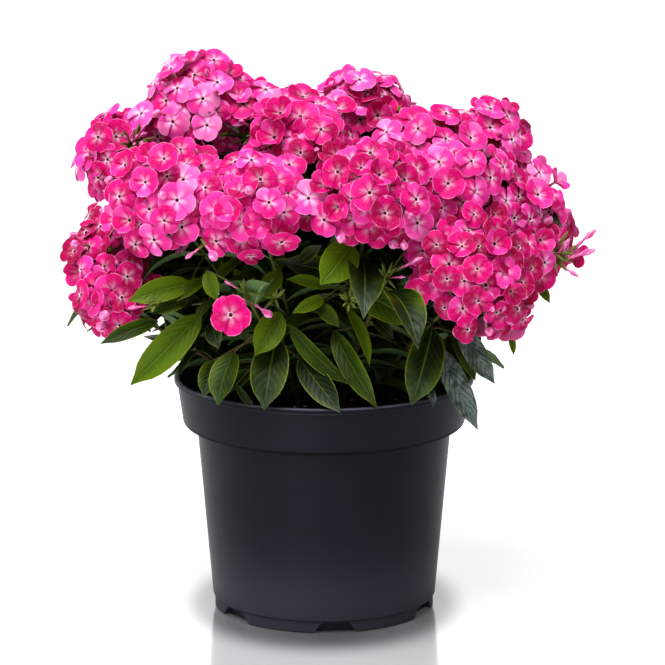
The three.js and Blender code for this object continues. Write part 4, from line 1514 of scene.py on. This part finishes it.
# %% [markdown]
# ## Stem paths
# A stem leaves the compost in the clump at the middle, bows a little to one side and meets its
# head from below. The bow is one of nine amounts, and the right one is the one whose curve has
# the most corners of the CAD stem close to it.

# %% Stems
CLUMP_SHARE = 0.3
STEM_FOOT = 142.0
STEM_PIVOT = Vector((0, 0, 130))
STEM_NEAR = 2.6
STEM_STOP = 0.35 * 0.55  # a share of the head's radius
SPRAY_STOP = 1.0
STEM_PULL = 0.4
BOWS = (0, -10, 10, -20, 20, -30, 30, -40, 40)
PATH_STEPS = 24


def stem_curve(centre, stop, bow):
    """Points up a stem, from inside the compost to just short of the place given."""
    foot = Vector((centre.x * CLUMP_SHARE, centre.y * CLUMP_SHARE, STEM_FOOT))
    side = Vector((-centre.y, centre.x, 0)).normalized() * bow
    rise = (centre - STEM_PIVOT).normalized()
    end = centre - rise * stop
    pull = STEM_PULL * (end.z - foot.z)
    a, b = foot + side + Vector((0, 0, pull)), end + side - rise * pull
    path = []
    for step in range(PATH_STEPS + 1):
        t = step / PATH_STEPS
        path.append(foot * (1 - t) ** 3 + a * 3 * t * (1 - t) ** 2 + b * 3 * t * t * (1 - t) + end * t ** 3)
    return path


def stem_path(name):
    """The path of one stem, with the bow that its CAD stem has."""
    if name in HEADS:
        centre, stop = centres[name], STEM_STOP * radii[name]
    else:
        centre, stop = Vector(SPRAYS[name]), SPRAY_STOP
    corners = corner_points(f"stem_{name}")

    def corners_near(path):
        return sum(min((corner / MM - point).length for point in path) < STEM_NEAR for corner in corners)

    return max((stem_curve(centre, stop, bow) for bow in BOWS), key=corners_near)


paths = {name: stem_path(name) for name in stem_names}
print("stems from", round(min(p[-1].z for p in paths.values())), "to",
      round(max(p[-1].z for p in paths.values())), "mm high")

# %% [markdown]
# ## Leaves
# A phlox leaf is a long ellipse with a sharp tip, folded a little along the midrib and arched,
# with the surface puffed up between the side veins. One leaf is ten steps long and four faces wide
# on top, with the same outline underneath. It is drawn at unit size, so that the tree can stretch
# it, in six versions that sway and ripple differently.

# %% Leaf shapes
LEAF_KINDS = 6
LEAF_STEPS = 10
LEAF_ARCH = 0.56
LEAF_BODY = 0.016
LEAF_STALK, LEAF_POINT = 0.05, 0.012
RIPPLE = 0.010
UPPER, UNDER = 0, 1


def leaf_width(t):
    """Half width along the leaf, 0.5 at its widest."""
    swell = max(0.0, 1 - abs(2 * t - 0.96) ** 2.3) ** 0.85
    point = 1 - 0.5 * max(0.0, (t - 0.78) / 0.22) ** 1.5
    return 0.5 * swell * point + 0.045 * (1 - t) ** 3


def leaf(seed):
    dice = random.Random(seed)
    wave, phase, hook = dice.uniform(0.25, 0.6), dice.uniform(0, 6), dice.uniform(-0.05, 0.09)
    sway = dice.uniform(-0.16, 0.16)
    halves = [leaf_width(step / LEAF_STEPS) for step in range(LEAF_STEPS + 1)]
    halves[0], halves[-1] = LEAF_STALK, LEAF_POINT
    shape = Shape()
    top_rows, under_rows = [], []
    for step, half in enumerate(halves):
        t = step / LEAF_STEPS
        droop = LEAF_ARCH * t * (1 - t) - hook * t ** 3
        drift = sway * t * t * 0.35
        top = []
        for share in (-1.0, -0.5, 0.0, 0.5, 1.0):
            lift = LEAF_FOLD * 2 * half * abs(share) ** 0.9 * 0.6
            ripple = RIPPLE * wave * abs(share) * math.sin(phase + t * 13 + share * 1.4)
            place = (half * share + drift, t, droop + lift + ripple)
            top.append(shape.point(place, (0.5 + 0.5 * share, t)))
        x, y, z = shape.points[top[2]]
        middle = shape.point((x, y, z - LEAF_BODY), (0.5, t))
        top_rows.append(top)
        under_rows.append([top[0], middle, top[-1]])
    for low, high in zip(top_rows, top_rows[1:]):
        shape.band(low, high, UPPER)
    for low, high in zip(under_rows, under_rows[1:]):
        shape.band(high, low, UNDER)
    shape.face(top_rows[0][::-1] + [under_rows[0][1]], UNDER)
    shape.face(top_rows[-1] + [under_rows[-1][1]], UNDER)
    return shape.mesh(f"leaf_{seed}")


leaf_box = shape_box("leaf", [leaf(seed) for seed in range(LEAF_KINDS)])

# %% [markdown]
# The upper side is a deep green with a paler midrib and margin, and side veins that curve towards
# the tip; between the veins the blade is puffed up. The underside is a dull grey green. All of it
# reads the leaf's own map. Each leaf has its own tone: a high one is a young, yellower leaf. A low
# one gets a painted grey sheen towards the tip, and one below nought a painted grey sheen over its
# puffed blade, with painted shade in the creases and a stronger quilted bump.

# %% Leaf finish
SIDE_VEINS = 8.0
VEIN_SWEEP = 2.6

blade = Finish("phlox_leaf", IOR=1.42, Specular_IOR_Level=0.22)
across, along = blade.surface()
side = abs(across - 0.5) * 2
tone, part = blade.value_of("tone"), blade.value_of("part")
spot = blade.place()
patch = blade.noise(spot, 26.0, 3.0)
fine = blade.noise(spot, 240.0, 3.0)
wave = abs(((along * SIDE_VEINS - side * VEIN_SWEEP + (patch - 0.5) * 2.2) * math.pi).sine())
side_vein = (1 - blade.ramp(wave, 0.0, 0.34)) * (1 - blade.ramp(side, 0.82, 1.0))
rib = 1 - blade.ramp(side, 0.02, 0.08)
margin = blade.ramp(side, 0.9, 0.98)
green = blade.blend(blade.ramp(patch + (tone - 0.5) * 0.5, 0.3, 0.8), colour(14, 32, 1), colour(46, 72, 4))
green = blade.blend(blade.ramp(tone, 0.3, 1.0) * 0.7, green, colour(98, 124, 14))
outer = blade.ramp(side, 0.15, 0.95) * blade.ramp(patch, 0.35, 0.65)
green = blade.blend(outer * 0.4, green, colour(104, 122, 18))
green = blade.blend((1 - blade.ramp(side, 0.0, 0.5)) * 0.35, green, colour(20, 34, 2))
green = blade.blend(side_vein * 0.08, green, colour(110, 130, 30))
green = blade.blend(margin * 0.45, green, colour(150, 162, 40))
green = blade.blend(rib * 0.3, green, colour(130, 146, 50))
under = blade.blend(rib + side_vein * 0.4, colour(92, 118, 74), colour(150, 168, 116))
below = part > UNDER - 0.5
green = blade.blend(below, green, under)
# a tone below nought marks a leaf with a painted grey sheen
sheened_leaf = 1 - blade.ramp(tone, -0.4, 0.0)
# painted grey sheen in patches towards the tip of darker leaves
tip_sheen = blade.ramp(along, 0.45, 1.0) * (1 - blade.ramp(tone, 0.3, 0.6)) * blade.ramp(patch, 0.3, 0.6)
quilt = blade.noise(spot, 130.0, 2.0)
net = 1 - blade.ramp(abs(blade.noise(spot, 260.0, 1.0) - 0.5), 0.0, 0.05)
# painted shade in the creases
crease_shade = (1 - blade.ramp(wave, 0.0, 0.5)) * 0.75 + net * 0.4
# painted grey sheen on the puffed blade
painted_sheen = blade.blend(blade.ramp(quilt, 0.35, 0.6), colour(72, 86, 78), colour(122, 134, 130))
painted_sheen = blade.blend(crease_shade, painted_sheen, colour(24, 40, 24))
green = blade.blend((sheened_leaf * 0.8 + tip_sheen * 0.3) * (part < UNDER - 0.5), green, painted_sheen)
pillow = wave ** 0.5 * 0.4 * (1 - margin * 0.4) + quilt * 0.7 - rib * 0.8 + fine * 0.15
blade.wear(green, 0.33 + quilt * 0.16 + below * 0.25, pillow * (1 + sheened_leaf * 1.5), 0.5, 0.0013)
print("leaf finish of", len(blade.tree.nodes), "nodes")

# %% [markdown]
# The stems are brown and woody low down and green higher up, with fine stripes along them. Noise
# stretched to some twelve times its height makes stripes on any upright stem, without a map.

# %% Stem finish
GRAIN_STRETCH = (1.0, 1.0, 0.08)
YOUNG_FROM, YOUNG_TO = 0.2, 0.3

stem_skin = Finish("stem_skin", IOR=1.4)
spot = stem_skin.place()
grain = stem_skin.add("ShaderNodeVectorMath", {"operation": "MULTIPLY"}, {0: spot, 1: GRAIN_STRETCH})
stripe = stem_skin.noise(grain, 500.0, 3.0)
young = stem_skin.ramp(stem_skin.axis_of(spot, 2), YOUNG_FROM, YOUNG_TO)
bark = stem_skin.blend(stripe, colour(62, 46, 24), colour(92, 78, 38))
bark = stem_skin.blend(young * 0.85, bark, colour(84, 100, 40))
stem_skin.wear(bark, 0.48 + stripe * 0.2, stripe, 0.5, 0.0005)
print("stem finish of", len(stem_skin.tree.nodes), "nodes")

# %% [markdown]
# ## Leaves on their stems
# What one sees of the leaves is their front layer, so it is set leaf by leaf: foot, tip, width,
# how far it is turned about its midrib, and its tone. Rules make good filling, but where the eye
# rests they look like rules. Leaves low at the right have a tone below nought: a painted grey sheen.

# %% Front leaves
FRONT_LEAVES = (  # foot, tip and width in mm, turn about the midrib in degrees, tone
    ((-35, -88, 230), (-45, -117, 182), 28, 0, 0.35),
    ((-67, -92, 220), (-79, -116, 186), 22, 10, 0.45),
    ((-82, -84, 212), (-89, -104, 189), 16, -20, 0.3),
    ((-95, -62, 215), (-109, -78, 197), 10, 30, 0.4),
    ((-92, -70, 244), (-144, -84, 193), 24, -25, 0.9),
    ((-88, -66, 225), (-141, -74, 194), 18, 25, 0.4),
    ((-124, -76, 240), (-166, -90, 226), 12, -10, 0.45),
    ((-99, -80, 270), (-145, -98, 261), 18, -10, 0.9),
    ((-88, -76, 272), (-109, -92, 259), 12, 10, 0.6),
    ((-86, -92, 282), (-79, -104, 262), 12, 0, 0.95),
    ((-102, -84, 257), (-127, -92, 250), 11, 0, 0.5),
    ((-82, -78, 257), (-95, -90, 244), 9, 20, 0.5),
    ((-32, -86, 281), (-50, -104, 259), 14, -10, 0.8),
    ((-32, -92, 250), (-51, -114, 223), 21, -15, 0.9),
    ((-83, -74, 240), (-78, -90, 222), 14, 10, 0.2),
    ((-58, -84, 291), (-84, -98, 270), 10, 25, 0.5),
    ((21, -94, 303), (-1, -120, 277), 27, -10, 1.0),
    ((21, -88, 269), (70, -108, 245), 24, 10, 0.55),
    ((2, -82, 267), (-28, -98, 277), 10, 15, 0.8),
    ((0, -86, 260), (-23, -104, 253), 10, -10, 0.9),
    ((-4, -80, 254), (11, -96, 240), 11, 0, 0.6),
    ((-25, -84, 239), (19, -108, 199), 15, 35, 0.5),
    ((7, -82, 234), (40, -112, 183), 17, 20, 0.5),
    ((16, -90, 254), (35, -112, 215), 11, -30, 0.8),
    ((-18, -86, 214), (12, -117, 179), 20, 5, 0.1),
    ((81, -80, 236), (64, -104, 183), 28, 0, 0.3),
    ((86, -76, 220), (115, -88, 160), 18, 20, -0.4),
    ((101, -78, 240), (127, -84, 194), 17, 35, -0.3),
    ((96, -58, 228), (113, -62, 191), 13, 0, 0.5),
    ((76, -88, 196), (81, -104, 181), 9, -30, -0.4),
    ((65, -74, 244), (72, -88, 219), 10, 0, -0.2),
    ((37, -72, 242), (52, -84, 229), 10, 0, 0.1),
    ((16, -70, 273), (-32, -84, 288), 18, 0, 0.15),
    ((-54, -76, 203), (-71, -92, 189), 12, 10, 0.1),
    ((-65, -90, 195), (-50, -102, 179), 6, 20, 0.1),
    ((69, -96, 307), (74, -110, 293), 11, 0, 0.5),
    ((-65, -70, 255), (-46, -84, 272), 9, 0, 0.4),
    ((-18, -80, 286), (-1, -92, 301), 10, 0, 0.3),
    ((36, -80, 286), (45, -94, 276), 7, 0, 0.6),
    ((53, -60, 253), (79, -70, 251), 12, 0, 0.1),
    ((137, -84, 235), (141, -88, 217), 6, 0, 0.9),
    ((158, -34, 262), (170, -40, 246), 9, 0, 0.9),
    ((-92, 18, 262), (-136, 42, 284), 27, 0, 0.1),
    ((-84, 20, 245), (-128, 30, 252), 24, 0, 0.1),
    ((84, -30, 246), (118, -50, 206), 24, 0, 0.0),
    ((96, -34, 222), (106, -58, 184), 20, 0, 0.0),
    ((94, -20, 252), (126, -38, 221), 22, 0, 0.0),
    ((70, -64, 313), (92, -74, 297), 14, 0, 0.35),
)
FRONT_ARCH = 0.5
FRONT_STALKS = (1.0 * MM, 0.8 * MM, 0.7 * MM)
STALK_RISE = Vector((0, 0, 2))


def front_side(foot, tip, turn):
    """The side that a hanging leaf shows: towards the window, turned about its midrib."""
    along = (tip - foot).normalized()
    out = Vector((foot.x * 0.004, -1.0, 0.45))
    up = (out - along * along.dot(out)).normalized()
    return Quaternion(along, math.radians(turn)) @ up


hand_set = {name: [] for name in stem_names}
for one in FRONT_LEAVES:
    foot = Vector(one[0])
    nearest = min(stem_names, key=lambda name: min((point - foot).length for point in paths[name]))
    hand_set[nearest].append(one)
owners = sum(bool(leaves) for leaves in hand_set.values())
print(len(FRONT_LEAVES), "leaves set by hand on", owners, "stems")

# %% [markdown]
# A leaf is planted on a skeleton by its start, its tip and its arch, and the tree stretches one of
# the drawn leaves to fit. Leaves that grow by rule keep clear of each other's tips, of the domes,
# of the plant's outline, and of a few boxes of air: the front layer and the edges where no leaf
# should stick out.

# %% Room for a leaf
LEAF_CLEARANCE = 7.5
OUTLINE_MARGIN = 3.0
DOME_SHARE = 0.8
FRONT_KEPT = -140.0
ANY = math.inf
KEPT_FREE = (  # boxes for no tip of a grown leaf: x, y and z in mm, each from and to
    ((-ANY, 130), (FRONT_KEPT, -62), (-ANY, ANY)),  # the front layer
    ((108, ANY), (-ANY, 60), (-ANY, 240)),  # low at the right
    ((150, ANY), (-ANY, ANY), (-ANY, 268)),  # the right edge
    ((-ANY, -175), (-ANY, ANY), (300, ANY)),  # high at the left
)
FLATTEST, STEEPEST = 0.25, 1.3
UP = Vector((0, 0, 1))


def kept_free(tip):
    """Is a tip in one of the boxes?"""
    return any(all(low < number < high for number, (low, high) in zip(tip, box)) for box in KEPT_FREE)


def fits(tip):
    """Has a grown leaf with this tip room among all the others?"""
    low, high = cad_low / MM, cad_high / MM
    if any(not low[axis] + OUTLINE_MARGIN < tip[axis] < high[axis] - OUTLINE_MARGIN for axis in (0, 1)):
        return False
    if kept_free(tip) or any((tip - other).length < LEAF_CLEARANCE for other in taken):
        return False
    return all((tip - centres[name]).length > radii[name] * DOME_SHARE for name in HEADS)


def add_leaf(skeleton, start, bend, tip, width, up, tone):
    """Plants a leaf in metres, with the side that its arch or up points to on top."""
    chord = tip - start
    arch = bend - (start + tip) / 2
    along = chord.normalized()
    facing = arch - along * arch.dot(along)
    if facing.length < 1e-6 or facing.dot(up) < 0:
        facing = up - along * up.dot(along)
    facing.normalize()
    rise = max(FLATTEST, arch.length / (chord.length * LEAF_ARCH / 2))
    skeleton.plant(dice.randrange(LEAF_KINDS), start, facing, along.cross(facing),
                   (width, chord.length, chord.length * min(rise, STEEPEST)), tone)


cad_leaves = {name: [one for one in leaves if not kept_free(one["tip"] / MM)]
              for name, leaves in cad_leaves.items()}
taken = [one["tip"] / MM for leaves in cad_leaves.values() for one in leaves]
print(len(taken), "leaves of the frame kept")

# %% [markdown]
# Each stem gets its leaves in four turns: those of the frame, those listed, opposite pairs that
# turn a quarter each time, as phlox leaves do, smaller towards the top, and a collar of seven close
# under its head.

# %% Leaves on their stems
LEAF_LENGTH = 62.0
LEAF_RATIO = 0.38
TOP_SHRINK = 0.3
PAIR_STEP = 7.5
LOWEST_PAIR, PAIRS_END = 172.0, 4
COLLAR_LEAVES = 7
COLLAR_LENGTH = 52.0
COLLAR_START = -6
FAR_FRONT_TONE = 0.3
STEM_RADIUS, STEM_TAPER = 2.0, 0.35


def add_read(skeleton, leaves):
    """The leaves that were read from the frame."""
    for one in leaves:
        tone = dice.random() * (FAR_FRONT_TONE if one["tip"].y < FRONT_KEPT * MM else 1)
        add_leaf(skeleton, **one, tone=tone)


def add_front(skeleton, path, leaves):
    """The listed leaves, each with a short stalk to the nearest point of its stem."""
    for foot, tip, width, turn, tone in leaves:
        foot, tip = Vector(foot), Vector(tip)
        up = front_side(foot, tip, turn)
        bend = (foot + tip) / 2 + up * (tip - foot).length * LEAF_ARCH / 2 * FRONT_ARCH
        add_leaf(skeleton, foot * MM, bend * MM, tip * MM, width * MM, up, tone)
        stalk = min(path, key=lambda point: (point - foot).length)
        between = stalk * 0.5 + foot * 0.5 + STALK_RISE
        skeleton.path([stalk * MM, between * MM, foot * MM], FRONT_STALKS, 0.5)


def add_grown(skeleton, place, turn, lean, length):
    """A leaf that rises by lean and then arches over, where it fits."""
    out = Vector((math.cos(turn), math.sin(turn), 0))
    chord = (out * math.cos(lean) + UP * math.sin(lean)) * length
    lift = UP * math.cos(lean) - out * math.sin(lean)
    bend, tip = place + chord / 2 + lift * length * LEAF_ARCH / 2, place + chord
    if fits(tip):
        taken.append(tip)
        add_leaf(skeleton, place * MM, bend * MM, tip * MM, length * LEAF_RATIO * MM, lift, dice.random())


def add_pairs(skeleton, path):
    """Pairs up the stem; gives the turn of the next one."""
    quarter = dice.uniform(0, math.pi)
    level = LOWEST_PAIR + dice.uniform(0, PAIR_STEP)
    top = path[-1].z
    while level < top - PAIRS_END:
        place = min(path, key=lambda point: abs(point.z - level))
        share = (level - LOWEST_PAIR) / max(1, top - LOWEST_PAIR)
        for opposite in (0, math.pi):
            length = LEAF_LENGTH * dice.uniform(0.8, 1.15) * (1.0 - TOP_SHRINK * share)
            turn = quarter + opposite + dice.uniform(-0.3, 0.3)
            add_grown(skeleton, place, turn, dice.uniform(-0.1, 0.75), length)
        quarter += math.pi / 2
        level += PAIR_STEP * dice.uniform(0.85, 1.2)
    return quarter


def add_collar(skeleton, path, quarter):
    """A ring of leaves close under the head."""
    for number in range(COLLAR_LEAVES):
        turn = quarter + 2 * math.pi * number / COLLAR_LEAVES + dice.uniform(-0.3, 0.3)
        length = COLLAR_LENGTH * dice.uniform(0.85, 1.2)
        add_grown(skeleton, path[COLLAR_START + number % 3], turn, dice.uniform(-0.4, 0.3), length)


dice = random.Random(11)
shoots = {name: Skeleton() for name in stem_names}
placed = len(taken)
stem_radii = [(STEM_RADIUS * (1.0 - STEM_TAPER * k / PATH_STEPS)) * MM for k in range(PATH_STEPS + 1)]
for name, skeleton in shoots.items():
    add_read(skeleton, cad_leaves[name])
    add_front(skeleton, paths[name], hand_set[name])
    quarter = add_pairs(skeleton, paths[name])
    if name in HEADS:
        add_collar(skeleton, paths[name], quarter)
    skeleton.path([point * MM for point in paths[name]], stem_radii, 0.5)
print(len(taken) - placed, "more leaves")

# %% [markdown]
# The growing tree turns each skeleton into one shoot, a round tapering stem with its leaves on it,
# in the place of the plain stem of the frame. Eight sides are enough for stems as thin as these.

# %% Grow the shoots
STEM_SIDES = 8

faces = 0
for name, skeleton in shoots.items():
    piece = grow(f"shoot_{name}", skeleton, leaf_box, STEM_SIDES, blade.material, stem_skin.material)
    finish_piece(piece, "leaf", f"stem_{name}")
    faces += len(piece.data.polygons)
empty_box(leaf_box)
print(len(shoots), "shoots with", faces, "faces")
